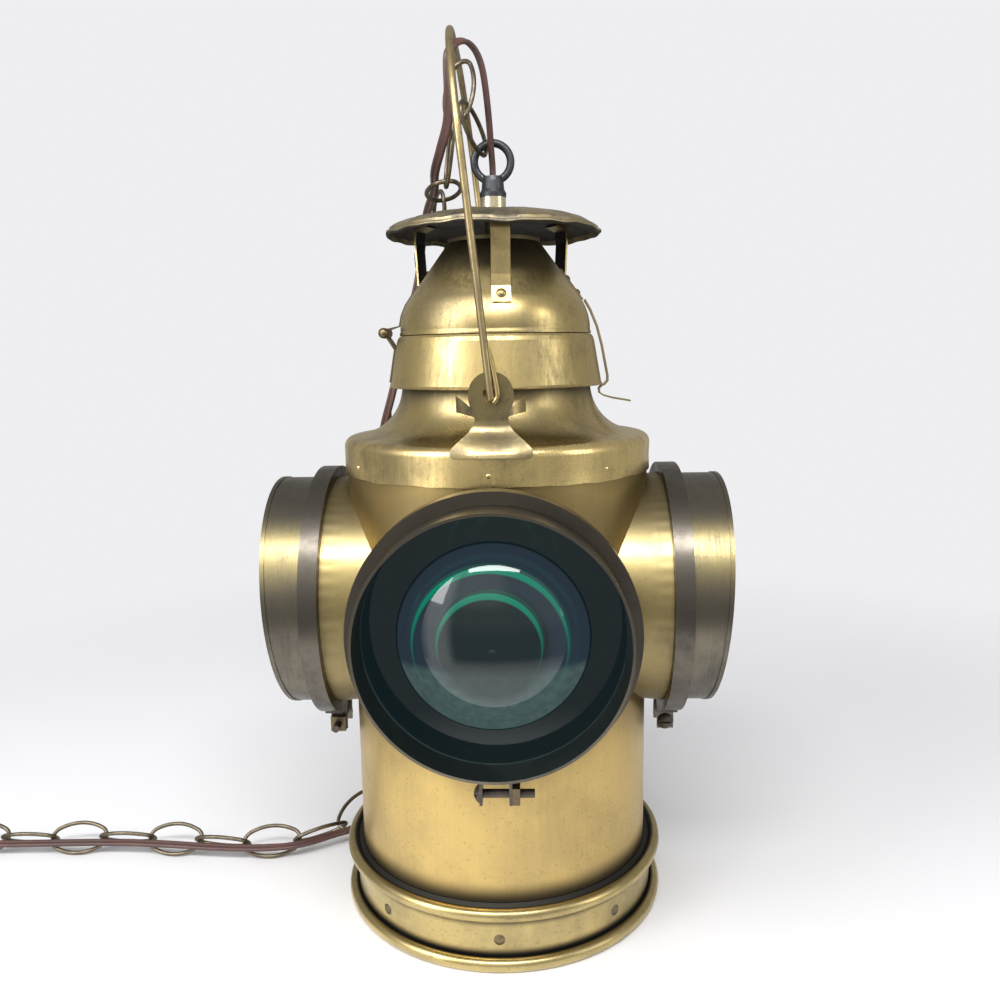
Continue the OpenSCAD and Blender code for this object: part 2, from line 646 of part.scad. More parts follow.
// One link lying along X in the XY plane, welded where its arcs meet
module link() {
    weld = [link_side_r * sin(link_arc), link_end_r * cos(link_arc)];
    for (side = [-1, 1]) {
        translate([side * (link_a - link_end_r), 0, 0]) rotate([0, 0, (side > 0 ? 0 : 180) - 90 + link_arc])
            rotate_extrude(angle = 180 - 2 * link_arc) translate([link_end_r, 0]) circle(r = link_wire_r, $fn = 32);
        translate([0, -side * (link_side_r - link_b), 0]) rotate([0, 0, (side > 0 ? 90 : -90) - link_arc])
            rotate_extrude(angle = 2 * link_arc) translate([link_side_r, 0]) circle(r = link_wire_r, $fn = 32);
        for (end = [-1, 1]) translate([end * weld[0], side * weld[1], 0]) sphere(r = link_wire_r + 0.06, $fn = 32);
    }
}

// Puts a link between two joints, with its width along the part of w that is square to it
module link_between(a, b, w) {
    t = unit(b - a);
    u = square_to(w, t);
    v = cross(t, u);
    c = (a + b) / 2;
    multmatrix([[t[0], u[0], v[0], c[0]], [t[1], u[1], v[1], c[1]], [t[2], u[2], v[2], c[2]], [0, 0, 0, 1]]) link();
}

chain_points = smooth_route(chain_route, 8);
chain_run = run_length(chain_points);
function joint_at(k) = at_length(chain_points, chain_run, k * link_pitch);

module chain_links(first, count) {
    color(iron) for (k = [first:first + count - 1]) {
        t = unit(joint_at(k + 1) - joint_at(k));
        n = square_to(chain_side((joint_at(k) + joint_at(k + 1)) / 2), t);
        link_between(joint_at(k), joint_at(k + 1), (k % 2 == 0 ? -1 : 1) * n + cross(t, n));
    }
}

// Three links between the hanging ring and the canopy: the middle one stands up
standing_links = [
    [[-4.3, 2.2, 453], [-15.3, -26.8, 467.8], [0, -0.45, -0.89]],
    [[-18.8, -18.3, 463.2], [-16.1, -7.9, 495.9], [0.83, -0.55, 0.11]],
    [[-20.7, -17.1, 464.6], [-26.3, -8.1, 431.9], [-0.15, 0.95, 0.29]]
];

module chain_standing() {
    color(iron) for (s = standing_links) link_between(s[0], s[1], s[2]);
}

module chain_hanging() {
    chain_links(0, hanging_links);
}

module chain_floor() {
    chain_links(hanging_links, floor_links);
}

module cord_run() {
    color(brown) tube_along(smooth_route(cord_route, 2), cord_d / 2, 8, [1, 0, 0]);
}

// The coil spirals in on the floor, climbs a layer in the half turn where it turns back, and spirals out on top
coil_loop_steps = 24;
function coil_radius(u) = coil_r - coil_step * (coil_turns - abs(coil_turns - u));
function coil_level(u) = coil_floor + coil_step * between(u, coil_turns - 0.25, coil_turns + 0.25);
coil_loops = [for (k = [0:2 * coil_turns * coil_loop_steps]) let (u = k / coil_loop_steps, a = 90 + 360 * u)
    [coil_x + coil_radius(u) * cos(a), coil_y + coil_radius(u) * sin(a), coil_level(u)]];
coil_points = concat([[coil_x + coil_lead, coil_y + coil_r, coil_floor]], coil_loops,
    [[coil_x - coil_lead, coil_y + coil_r, plug_z], [relief_x, coil_y + coil_r, plug_z]]);

// Least gap between turns of the coil that are more than half a turn apart
echo(coil_gap = min([for (i = [0:len(coil_loops) - 1]) for (j = [i + coil_loop_steps / 2:1:len(coil_loops) - 1])
    norm(coil_loops[i] - coil_loops[j])]) - cord_d);

module cord_coil() {
    color(brown) tube_along(coil_points, cord_d / 2, 6, [0, 0, 1]);
}

// Moulded two-blade plug, tapered towards the cord, with a grooved strain relief
module plug() {
    half_w = plug_w / 2;
    half_h = plug_z - 0.05;
    color(brown) translate([plug_face_x, coil_y + coil_r, plug_z]) union() {
        intersection() {
            translate([0, 0, -half_h]) linear_extrude(2 * half_h) polygon([
                [0, -half_w], [9, -half_w], [15, -half_w + 0.8], [21, -half_w + 2.6], [26, -half_w + 5], [30, -6],
                [30, 6], [26, half_w - 5], [21, half_w - 2.6], [15, half_w - 0.8], [9, half_w], [0, half_w]
            ]);
            rotate([90, 0, 0]) translate([0, 0, -half_w]) linear_extrude(2 * half_w) polygon([
                [0, -half_h], [12, -half_h], [22, -half_h + 1.2], [30, -6], [30, 6], [22, half_h - 1.2],
                [12, half_h], [2, half_h], [0, half_h - 1.5]
            ]);
        }
        translate([29, 0, 0]) rotate([0, 90, 0]) ring([
            [0, 0], [5.4, 0], [5.2, 4], [4.4, 4.4], [4.4, 6], [4.9, 6.4], [4.7, 9.4], [4, 9.8], [4, 11.4], [4.5, 11.8],
            [4.2, 15], [3.8, relief_x - plug_face_x - 29], [0, relief_x - plug_face_x - 29]
        ]);
    }
}

// Blades with round ends and a hole each
module plug_prongs() {
    length = 17;
    width = 6.4;
    blade_t = 1.5;
    spacing = 12.7;
    color(brass) translate([plug_face_x, coil_y + coil_r, plug_z]) for (side = [-1, 1])
        translate([0, side * spacing / 2 + blade_t / 2, 0]) rotate([90, 0, 0]) difference() {
            linear_extrude(blade_t) polygon([
                [0, -width / 2], [-length + 1.5, -width / 2], [-length, -width / 2 + 1.5], [-length, width / 2 - 1.5],
                [-length + 1.5, width / 2], [0, width / 2]
            ]);
            translate([-length + 4, 0, -1]) cylinder(r = 1.6, h = 4);
        }
}

body_shell();
base_collar();
base_plate();
base_rivets();
shoulder_cap();
chimney_band();
color(brass) on_lens_axis(0) neck();  // neck_front
color(brass) on_lens_axis(1) neck();  // neck_right
color(brass) on_lens_axis(2) neck();  // neck_back
color(brass) on_lens_axis(3) neck();  // neck_left
color(iron) on_lens_axis(0) clamp_band();  // clamp_front
color(iron) on_lens_axis(1) clamp_band();  // clamp_right
color(iron) on_lens_axis(2) clamp_band();  // clamp_back
color(iron) on_lens_axis(3) clamp_band();  // clamp_left
color("seagreen") on_lens_axis(0) lens();  // lens_front
color("firebrick") on_lens_axis(1) lens();  // lens_right
color("seagreen") on_lens_axis(2) lens();  // lens_back
color("firebrick") on_lens_axis(3) lens();  // lens_left
color(dark_brass) on_lens_axis(0) hood();  // hood_front
color(dark_brass) on_lens_axis(1) hood();  // hood_right
color(dark_brass) on_lens_axis(2) hood();  // hood_back
color(dark_brass) on_lens_axis(3) hood();  // hood_left
clamp_screws();
clamp_nuts();
color(brass) ear();  // ear_front
color(brass) rotate([0, 0, 180]) ear();  // ear_back
bail();
hinge_lower_leaf();
hinge_upper_leaf();
hinge_pin();
lid_dome();
canopy();
canopy_straps();
strap_rivets();
eye_collar();
eye_loop();
lamp_tube();
lamp_socket();
socket_insulator();
latch_plate();
latch_spring();
latch_rivets();
chain_standing();
chain_hanging();
chain_floor();
cord_run();
cord_coil();
plug();
plug_prongs();
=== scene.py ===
import math

import bmesh
import bpy
from mathutils import Matrix, Vector, noise


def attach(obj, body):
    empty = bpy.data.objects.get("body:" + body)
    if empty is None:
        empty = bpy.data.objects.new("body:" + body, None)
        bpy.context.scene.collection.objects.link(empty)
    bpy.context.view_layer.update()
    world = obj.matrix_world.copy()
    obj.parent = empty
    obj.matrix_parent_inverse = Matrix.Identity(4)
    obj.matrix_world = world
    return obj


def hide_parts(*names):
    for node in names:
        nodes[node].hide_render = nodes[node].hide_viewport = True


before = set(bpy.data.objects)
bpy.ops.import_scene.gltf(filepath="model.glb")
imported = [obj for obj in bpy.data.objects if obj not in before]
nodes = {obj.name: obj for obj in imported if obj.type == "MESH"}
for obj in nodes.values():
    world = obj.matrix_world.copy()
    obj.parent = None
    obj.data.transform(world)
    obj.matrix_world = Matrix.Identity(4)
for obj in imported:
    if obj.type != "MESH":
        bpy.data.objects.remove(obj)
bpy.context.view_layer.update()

MM = 0.001
SIDES = ("front", "right", "back", "left")
scene = bpy.context.scene


# Camera

LENS_MM = 32.4
CAMERA_DISTANCE = 0.5438
CAMERA_HEIGHT = 0.3365
CAMERA_AZIMUTH = math.radians(2)
CAMERA_PITCH = math.radians(9.307)
CAMERA_ROLL = math.radians(0.958)
SHIFT_X = 0.0019


def make_camera():
    forward = Vector((
        -math.sin(CAMERA_AZIMUTH) * math.cos(CAMERA_PITCH),
        math.cos(CAMERA_AZIMUTH) * math.cos(CAMERA_PITCH),
        -math.sin(CAMERA_PITCH),
    ))
    level_right = Vector((math.cos(CAMERA_AZIMUTH), math.sin(CAMERA_AZIMUTH), 0))
    level_up = level_right.cross(forward)
    right = level_right * math.cos(CAMERA_ROLL) - level_up * math.sin(CAMERA_ROLL)
    up = right.cross(forward)
    data = bpy.data.cameras.new("camera")
    data.lens = LENS_MM
    data.shift_x = SHIFT_X
    camera = bpy.data.objects.new("camera", data)
    scene.collection.objects.link(camera)
    place = Matrix((right, up, -forward)).transposed().to_4x4()
    place.translation = (
        CAMERA_DISTANCE * math.sin(CAMERA_AZIMUTH),
        -CAMERA_DISTANCE * math.cos(CAMERA_AZIMUTH),
        CAMERA_HEIGHT,
    )
    camera.matrix_world = place
    scene.camera = camera


make_camera()


# Small helpers for meshes and their objects

SHARP = math.radians(38)


def new_object(name, data, body):
    """Links a finished piece, which rides on a body and takes its finish from a material slot."""
    piece = bpy.data.objects.new(name, data)
    scene.collection.objects.link(piece)
    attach(piece, body)
    return piece


def mesh_from(bm, name):
    """Turns a bmesh into a smooth mesh with its faces outwards."""
    bmesh.ops.remove_doubles(bm, verts=bm.verts, dist=1e-6)
    bmesh.ops.recalc_face_normals(bm, faces=bm.faces)
    for face in bm.faces:
        face.smooth = True
    mesh = bpy.data.meshes.new(name)
    bm.to_mesh(mesh)
    bm.free()
    mesh.set_sharp_from_angle(angle=SHARP)
    return mesh


def spun(outline, axis=(0, 0, 1), steps=96):
    """Full turn of a line of (radius, height) points about the upright axis."""
    bm = bmesh.new()
    verts = [bm.verts.new((r, 0, z)) for r, z in outline]
    edges = [bm.edges.new(pair) for pair in zip(verts, verts[1:])]
    bmesh.ops.spin(bm, geom=verts + edges, cent=(0, 0, 0), axis=axis, dvec=(0, 0, 0),
                   angle=math.tau, steps=steps, use_merge=True, use_normal_flip=False, use_duplicate=False)
    return bm


def on_lens_axis(side):
    """Turns a shape drawn along +Z onto the lens axis of a side, with its +Y kept upwards."""
    turn = Matrix.Rotation(math.radians(90) * SIDES.index(side), 4, "Z")
    return Matrix.Translation((0, 0, LENS_Z)) @ turn @ Matrix.Rotation(math.radians(90), 4, "X")


LENS_Z = 0.1935


# Cord: out of the hanging ring, over the arch, down with the chain, along the floor and into its coil

CORD_D = 0.0055
CORD_ROUTE = [
    (0, 0, 0.434), (0, -0.0005, 0.442), (-0.0005, -0.0045, 0.451), (-0.001, -0.01, 0.462),
    (-0.002, -0.0155, 0.475), (-0.0035, -0.019, 0.487), (-0.0055, -0.0205, 0.4945),
    (-0.0085, -0.0235, 0.4995), (-0.0125, -0.028, 0.5015), (-0.017, -0.033, 0.4995),
    (-0.0205, -0.0365, 0.4945), (-0.0215, -0.0375, 0.488), (-0.0215, -0.036, 0.475),
    (-0.023, -0.0295, 0.4605), (-0.028, -0.0195, 0.4485), (-0.033, -0.005, 0.439),
    (-0.0365, 0.024, 0.4335), (-0.044, 0.0525, 0.426), (-0.05, 0.0675, 0.406), (-0.054, 0.0715, 0.3825),
    (-0.072, 0.0685, 0.314), (-0.08, 0.071, 0.2875), (-0.0855, 0.0755, 0.2605), (-0.0875, 0.0775, 0.23),
    (-0.086, 0.0755, 0.19), (-0.082, 0.0745, 0.11), (-0.084, 0.0725, 0.063), (-0.087, 0.069, 0.043),
    (-0.092, 0.063, 0.0265), (-0.0955, 0.052, 0.0175), (-0.104, 0.039, 0.0105), (-0.1205, 0.03, 0.0085),
    (-0.136, 0.02, 0.0085), (-0.1545, 0.0145, 0.0085), (-0.1905, 0.014, 0.0085), (-0.26, 0.02, 0.0085),
    (-0.345, 0.018, 0.0085), (-0.378, 0.0175, 0.0085), (-0.393, 0.014, 0.003), (-0.399, 0.014, 0.003),
]
COIL_TURNS = 3
COIL_STEPS = 24
COIL_R = 0.0365
COIL_X = -0.405
COIL_Y = 0.014 - COIL_R
COIL_STEP = CORD_D + 0.0005
COIL_FLOOR = 0.003
COIL_LEAD = 0.006
RELIEF_X = COIL_X - 0.025


def smooth_route(route, steps):
    """Catmull-Rom points along a route, as many steps to each stretch."""
    points = [Vector(p) for p in route]
    smooth = []
    for i in range(len(points) - 1):
        p0, p1 = points[max(i - 1, 0)], points[i]
        p2, p3 = points[i + 1], points[min(i + 2, len(points) - 1)]
        for k in range(steps):
            u = k / steps
            smooth.append(0.5 * (2 * p1 + (p2 - p0) * u + (2 * p0 - 5 * p1 + 4 * p2 - p3) * u * u
                                 + (3 * p1 - p0 - 3 * p2 + p3) * u * u * u))
    return smooth + [points[-1]]


def coil_points():
    """The coil spirals in on the floor, climbs a layer where it turns back, and spirals out on top."""
    points = []
    for k in range(2 * COIL_TURNS * COIL_STEPS + 1):
        u = k / COIL_STEPS
        angle = math.radians(90) + math.tau * u
        radius = COIL_R - COIL_STEP * (COIL_TURNS - abs(COIL_TURNS - u))
        climb = min(1, max(0, (u - COIL_TURNS + 0.25) / 0.5))
        points.append(Vector((COIL_X + radius * math.cos(angle), COIL_Y + radius * math.sin(angle),
                              COIL_FLOOR + COIL_STEP * climb)))
    top = COIL_FLOOR + COIL_STEP
    return points + [Vector((COIL_X - COIL_LEAD, COIL_Y + COIL_R, top)), Vector((RELIEF_X, COIL_Y + COIL_R, top))]


def twin_section():
    """Closed section of a flat twin lead: two round cores and the web between them."""
    core = CORD_D / 4
    data = bpy.data.curves.new("twin_section", "CURVE")
    data.dimensions = "2D"
    spline = data.splines.new("POLY")
    outline = []
    for side in (1, -1):
        for step in range(-5, 6):
            angle = math.radians(step * 27)
            outline.append((side * (core + core * math.cos(angle)), side * core * math.sin(angle)))
    spline.points.add(len(outline) - 1)
    for point, (x, y) in zip(spline.points, outline):
        point.co = (x, y, 0, 1)
    spline.use_cyclic_u = True
    section = bpy.data.objects.new("twin_section", data)
    scene.collection.objects.link(section)
    return section


def make_cord():
    line = smooth_route(CORD_ROUTE, 6) + coil_points()
    data = bpy.data.curves.new("cord", "CURVE")
    data.dimensions = "3D"
    spline = data.splines.new("POLY")
    spline.points.add(len(line) - 1)
    for point, place in zip(spline.points, line):
        point.co = (*place, 1)
        point.tilt = CORD_TILT
    section = twin_section()
    data.bevel_mode = "OBJECT"
    data.bevel_object = section
    data.use_fill_caps = True
    data.twist_mode = "MINIMUM"
    tube = bpy.data.objects.new("tube", data)
    scene.collection.objects.link(tube)
    bpy.context.view_layer.update()
    mesh = bpy.data.meshes.new_from_object(tube.evaluated_get(bpy.context.evaluated_depsgraph_get()))
    for helper in (tube, section):
        bpy.data.objects.remove(helper)
    bm = bmesh.new()
    bm.from_mesh(mesh)
    cord = new_object("cord", mesh_from(bm, "cord"), "root")
    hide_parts("cord_run", "cord_coil")
    return cord


CORD_TILT = math.radians(90)
cord = make_cord()


# Floor, backdrop and light

FLOOR_R = 1.1
FLOOR_FADE_START = 0.34
FLOOR_FADE_END = 0.95
TABLE_EDGE = 0.34
TABLE_EDGE_FADE = 0.16
# Painted glare on the floor, seen only in reflections: its strength and share
GLARE_GLOW = 1.8
GLARE_SHARE = 0.5
FLOOR_COLOR = (0.80, 0.80, 0.81, 1)
BACKDROP_COLOR = (0.86, 0.86, 0.88, 1)
SIDE_GLOW = 0.40
ROOM_GLOW = 0.56
LOW_ROOM_GLOW = 0.34
CEILING_GLOW = 0.46
WINDOW_GLOW = 2.1
WINDOW_TURN = math.radians(-50)
WINDOW_HALF = math.radians(11)
WALL_TURN = math.radians(-22)
WALL_HALF = math.radians(30)
WALL_GLOW = 0.55
WINDOW_COLOR = (1.0, 0.985, 0.95, 1)


def wire(tree, socket, value):
    """Links another node's output to a socket, or sets the socket's own value."""
    if isinstance(value, bpy.types.NodeSocket):
        tree.links.new(value, socket)
    else:
        socket.default_value = value


def put(tree, kind, inputs=None, **settings):
    """Adds a shader node with its settings, and wires its inputs by name or number."""
    made = tree.nodes.new("ShaderNode" + kind)
    for name, value in settings.items():
        setattr(made, name, value)
    for key, value in (inputs or {}).items():
        wire(tree, made.inputs[key], value)
    return made


def calc(tree, operation, *values, clamp=False):
    return put(tree, "Math", dict(enumerate(values)), operation=operation, use_clamp=clamp).outputs[0]


def ramp(tree, value, low, high, to_low=0.0, to_high=1.0):
    """Smooth step of a value from low to high."""
    made = put(tree, "MapRange", {"Value": value, "From Min": low, "From Max": high, "To Min": to_low,
                                  "To Max": to_high}, interpolation_type="SMOOTHSTEP")
    return made.outputs["Result"]


def mix_colors(tree, factor, first, second, mode="MIX"):
    made = put(tree, "Mix", {0: factor, 6: first, 7: second}, data_type="RGBA", blend_type=mode)
    return made.outputs[2]


def new_material(name):
    material = bpy.data.materials.new(name)
    material.use_nodes = True
    material.node_tree.nodes.clear()
    return material, material.node_tree


def turn_of(tree, place):
    """Angle of a place or direction about the upright axis, 0 at the front and growing to the right."""
    parts = put(tree, "SeparateXYZ", {0: place}).outputs
    return calc(tree, "ARCTAN2", parts["X"], calc(tree, "MULTIPLY", parts["Y"], -1.0))


def make_floor():
    bm = bmesh.new()
    bmesh.ops.create_circle(bm, cap_ends=True, segments=128, radius=FLOOR_R)
    mesh = bpy.data.meshes.new("floor")
    bm.to_mesh(mesh)
    bm.free()
    floor = bpy.data.objects.new("floor", mesh)
    floor.location.z = -0.0002
    scene.collection.objects.link(floor)
    material, tree = new_material("floor")
    place = put(tree, "TexCoord").outputs["Object"]
    away = put(tree, "VectorMath", {0: place}, operation="LENGTH").outputs["Value"]
    seen = put(tree, "LightPath").outputs
    far = calc(tree, "MULTIPLY", ramp(tree, away, FLOOR_FADE_START, FLOOR_FADE_END), seen["Is Camera Ray"])
    edge = calc(tree, "MULTIPLY", ramp(tree, away, TABLE_EDGE, TABLE_EDGE + TABLE_EDGE_FADE), seen["Is Glossy Ray"])
    fade = calc(tree, "MAXIMUM", far, edge)
    paint = put(tree, "BsdfPrincipled", {"Base Color": FLOOR_COLOR, "Roughness": 0.55})
    clear = put(tree, "BsdfTransparent")
    # Painted glare: emission on the floor towards the front left, seen only by glossy rays
    lit = ramp(tree, calc(tree, "ABSOLUTE", calc(tree, "SUBTRACT", turn_of(tree, place), WALL_TURN)),
               WALL_HALF * 2.7, WALL_HALF, 0.0, GLARE_SHARE)
    glare = put(tree, "Emission", {"Color": WINDOW_COLOR, "Strength": GLARE_GLOW})
    top = put(tree, "MixShader", {0: calc(tree, "MULTIPLY", lit, seen["Is Glossy Ray"]), 1: paint.outputs[0],
                                  2: glare.outputs[0]})
    shown = put(tree, "MixShader", {0: fade, 1: top.outputs[0], 2: clear.outputs[0]})
    put(tree, "OutputMaterial", {"Surface": shown.outputs[0]})
    mesh.materials.append(material)


def make_world():
    """White studio for the eye; the metal and glass see a dim room with a tall window to the front left."""
    world = bpy.data.worlds.new("studio")
    scene.world = world
    world.use_nodes = True
    tree = world.node_tree
    tree.nodes.clear()
    direction = put(tree, "TexCoord").outputs["Generated"]
    parts = put(tree, "SeparateXYZ", {0: direction}).outputs
    ahead = calc(tree, "MULTIPLY", parts["Y"], -1.0)
    turn = turn_of(tree, direction)
    facing = put(tree, "MapRange", {"Value": parts["Z"], "From Min": -0.12, "From Max": 0.06,
                                    "To Min": LOW_ROOM_GLOW, "To Max": ROOM_GLOW}).outputs["Result"]
    front = put(tree, "Mix", {0: ramp(tree, ahead, -0.25, 0.35), 2: SIDE_GLOW, 3: facing}, data_type="FLOAT").outputs[0]
    high = ramp(tree, parts["Z"], 0.55, 0.9)
    room = put(tree, "Mix", {0: high, 2: front, 3: CEILING_GLOW}, data_type="FLOAT").outputs[0]
    off_window = calc(tree, "ABSOLUTE", calc(tree, "SUBTRACT", turn, WINDOW_TURN))
    window = calc(tree, "MULTIPLY", ramp(tree, off_window, WINDOW_HALF * 1.5, WINDOW_HALF * 0.5),
                  ramp(tree, parts["Z"], 0.8, 0.55))
    off_wall = calc(tree, "ABSOLUTE", calc(tree, "SUBTRACT", turn, WALL_TURN))
    wall = calc(tree, "MULTIPLY", ramp(tree, off_wall, WALL_HALF * 1.4, WALL_HALF * 0.7),
                calc(tree, "MULTIPLY", ramp(tree, parts["Z"], 0.18, 0.42), ramp(tree, parts["Z"], 0.85, 0.7)))
    room = calc(tree, "MULTIPLY_ADD", wall, WALL_GLOW, room)
    glow = calc(tree, "MULTIPLY_ADD", window, WINDOW_GLOW - ROOM_GLOW, room)
    mirrored_color = mix_colors(tree, 1.0, WINDOW_COLOR, put(tree, "CombineXYZ", {0: glow, 1: glow, 2: glow}).outputs[0],
                                "MULTIPLY")
    seen = put(tree, "LightPath").outputs
    mirrored = calc(tree, "MAXIMUM", seen["Is Glossy Ray"], seen["Is Transmission Ray"])
    color = mix_colors(tree, mirrored, BACKDROP_COLOR, mirrored_color)
    shown = calc(tree, "MAXIMUM", seen["Is Camera Ray"], mirrored)
    strength = put(tree, "MapRange", {"Value": shown, "To Min": 0.68, "To Max": 1.0}).outputs["Result"]
    backdrop = put(tree, "Background", {"Color": color, "Strength": strength})
    put(tree, "OutputWorld", {"Surface": backdrop.outputs[0]})


def add_softbox(name, place, target, size, power):
    data = bpy.data.lights.new(name, "AREA")
    data.shape = "RECTANGLE"
    data.size, data.size_y = size
    data.energy = power
    lamp = bpy.data.objects.new(name, data)
    lamp.location = place
    lamp.rotation_euler = (Vector(target) - Vector(place)).to_track_quat("-Z", "Y").to_euler()
    scene.collection.objects.link(lamp)


make_floor()
make_world()
add_softbox("ceiling_light", (0.0, -0.79, 1.16), (0, -0.12, 0.24), (0.9, 0.24), 13)
add_softbox("left_light", (-1.0, -0.75, 0.95), (-0.1, -0.1, 0.1), (0.5, 0.9), 11)
add_softbox("right_light", (1.2, -0.6, 0.7), (0, 0, 0.25), (0.4, 0.9), 3)
scene.view_settings.view_transform = "Standard"


# Shared effects

def new_group(name, inputs, outputs):
    """Empty shader node group with named inputs, given as (name, kind, value), and outputs."""
    group = bpy.data.node_groups.new(name, "ShaderNodeTree")
    for label, kind, value in inputs:
        socket = group.interface.new_socket(label, in_out="INPUT", socket_type="NodeSocket" + kind)
        if value is not None:
            socket.default_value = value
    for label, kind in outputs:
        group.interface.new_socket(label, in_out="OUTPUT", socket_type="NodeSocket" + kind)
    return group, group.nodes.new("NodeGroupInput").outputs, group.nodes.new("NodeGroupOutput").inputs


def make_aged_metal():
    """Worn metal: bright where it is rubbed, dull in cloudy stains, dark in specks and in the painted shade where Shade
    says.
    """
    group, given, result = new_group(
        "aged metal",
        [("Position", "Vector", None), ("Brushing", "Vector", None), ("Bright", "Color", (1, 1, 1, 1)),
         ("Dull", "Color", (1, 1, 1, 1)), ("Dark", "Color", (0, 0, 0, 1)), ("Stains", "Float", 0.5),
         ("Stain Scale", "Float", 30.0), ("Streaks", "Float", 0.5), ("Shade", "Float", 0.0), ("Polish", "Float", 0.3)],
        [("Color", "Color"), ("Roughness", "Float"), ("Height", "Float")])
    cloud = put(group, "TexNoise", {"Vector": given["Position"], "Scale": given["Stain Scale"], "Detail": 6.0,
                                    "Roughness": 0.62}).outputs["Fac"]
    speck = put(group, "TexNoise", {"Vector": given["Position"], "Scale": 620.0, "Detail": 2.0}).outputs["Fac"]
    line = put(group, "TexNoise", {"Vector": given["Brushing"], "Scale": 1.0, "Detail": 4.0,
                                   "Roughness": 0.7}).outputs["Fac"]
    stain = calc(group, "MULTIPLY", ramp(group, cloud, 0.38, 0.66), given["Stains"])
    streak = calc(group, "MULTIPLY", calc(group, "SUBTRACT", line, 0.5), given["Streaks"])
    spot = calc(group, "MULTIPLY", ramp(group, speck, 0.60, 0.74), calc(group, "MULTIPLY", given["Stains"], 0.45))
    dullness = calc(group, "ADD", stain, calc(group, "MULTIPLY", streak, 2.2), clamp=True)
    worn = mix_colors(group, dullness, given["Bright"], given["Dull"])
    darkness = calc(group, "MAXIMUM", given["Shade"], spot, clamp=True)
    wire(group, result["Color"], mix_colors(group, darkness, worn, given["Dark"]))
    rough = calc(group, "ADD", given["Polish"], calc(group, "MULTIPLY", dullness, 0.14))
    rough = calc(group, "ADD", rough, calc(group, "MULTIPLY", darkness, 0.22))
    wire(group, result["Roughness"], calc(group, "ADD", rough, calc(group, "MULTIPLY", streak, 0.25), clamp=True))
    height = calc(group, "ADD", calc(group, "MULTIPLY", line, given["Streaks"]), calc(group, "MULTIPLY", speck, 0.25))
    wire(group, result["Height"], height)
    return group


AGED_METAL = make_aged_metal()


def metal(name, bright, dull, dark, polish=0.3, stains=0.6, stain_scale=30, streaks=0.4, brushing=(60, 60, 60),
          shade=None, ripple=None, sheen=None, bump=0.25):
    """Brass, iron or steel with the shared wear. shade is a mask of painted shade, sheen a mask and colour of painted
    highlight, and ripple a height of its own.
    """
    material, tree = new_material(name)
    place = put(tree, "TexCoord").outputs["Object"]
    brushed = put(tree, "Mapping", {"Vector": place, "Scale": brushing}).outputs[0]
    wear = put(tree, "Group", node_tree=AGED_METAL)
    given = {"Position": place, "Brushing": brushed, "Bright": (*bright, 1), "Dull": (*dull, 1), "Dark": (*dark, 1),
             "Stains": stains, "Stain Scale": stain_scale, "Streaks": streaks, "Polish": polish}
    if shade is not None:
        given["Shade"] = shade(tree, place)
    if sheen is not None:
        mask, color = sheen
        given["Bright"] = mix_colors(tree, mask(tree, place), (*bright, 1), (*color, 1))
    for key, value in given.items():
        wire(tree, wear.inputs[key], value)
    height = wear.outputs["Height"]
    if ripple is not None:
        height = calc(tree, "ADD", height, ripple(tree, place))
    normal = put(tree, "Bump", {"Height": height, "Strength": bump, "Distance": 0.0003}).outputs[0]
    surface = put(tree, "BsdfPrincipled", {"Base Color": wear.outputs["Color"], "Metallic": 1.0,
                                           "Roughness": wear.outputs["Roughness"], "Normal": normal})
    put(tree, "OutputMaterial", {"Surface": surface.outputs[0]})
    return material


# Masks of painted shade: where the colour is darkened for the shade that falls inside, under and between parts

def height_of(tree, place):
    return put(tree, "SeparateXYZ", {0: place}).outputs["Z"]


def radius_of(tree, place):
    parts = put(tree, "SeparateXYZ", {0: place}).outputs
    flat = put(tree, "CombineXYZ", {"X": parts["X"], "Y": parts["Y"]}).outputs[0]
    return put(tree, "VectorMath", {0: flat}, operation="LENGTH").outputs["Value"]


def most(tree, *masks):
    total = masks[0]
    for mask in masks[1:]:
        total = calc(tree, "MAXIMUM", total, mask)
    return total


def own_normal(tree):
    return put(tree, "TexCoord").outputs["Normal"]


def inside_of(axis):
    """Mask of painted shade on the walls that face the axis: the body's own for Z, a lens axis for X or Y."""
    def mask(tree, place):
        parts = put(tree, "SeparateXYZ", {0: place}).outputs
        up = calc(tree, "SUBTRACT", parts["Z"], LENS_Z)
        ways = {"X": {"Y": parts["Y"], "Z": up}, "Y": {"X": parts["X"], "Z": up}, "Z": {"X": parts["X"], "Y": parts["Y"]}}
        away = put(tree, "CombineXYZ", ways[axis]).outputs[0]
        away = put(tree, "VectorMath", {0: away}, operation="NORMALIZE").outputs[0]
        facing = put(tree, "VectorMath", {0: away, 1: own_normal(tree)}, operation="DOT_PRODUCT").outputs["Value"]
        return ramp(tree, facing, -0.1, -0.5)
    return mask


def drum_shade(tree, place):
    """Painted shade: dark inside, a soft dark ring above the foot, a darker stretch under the shoulder and darker rings
    round the necks.
    """
    z = height_of(tree, place)
    foot = ramp(tree, z, 0.050, 0.037, 0.0, 0.8)
    top = ramp(tree, z, 0.252, 0.268, 0.0, 0.35)
    parts = put(tree, "SeparateXYZ", {0: place}).outputs
    up = calc(tree, "SUBTRACT", z, LENS_Z)
    rings = []
    for across in ("X", "Y"):
        flat = put(tree, "CombineXYZ", {"X": parts[across], "Y": up}).outputs[0]
        far = put(tree, "VectorMath", {0: flat}, operation="LENGTH").outputs["Value"]
        rings.append(ramp(tree, far, 0.100, 0.076, 0.0, 0.4))
    return most(tree, foot, top, *rings, inside_of("Z")(tree, place))


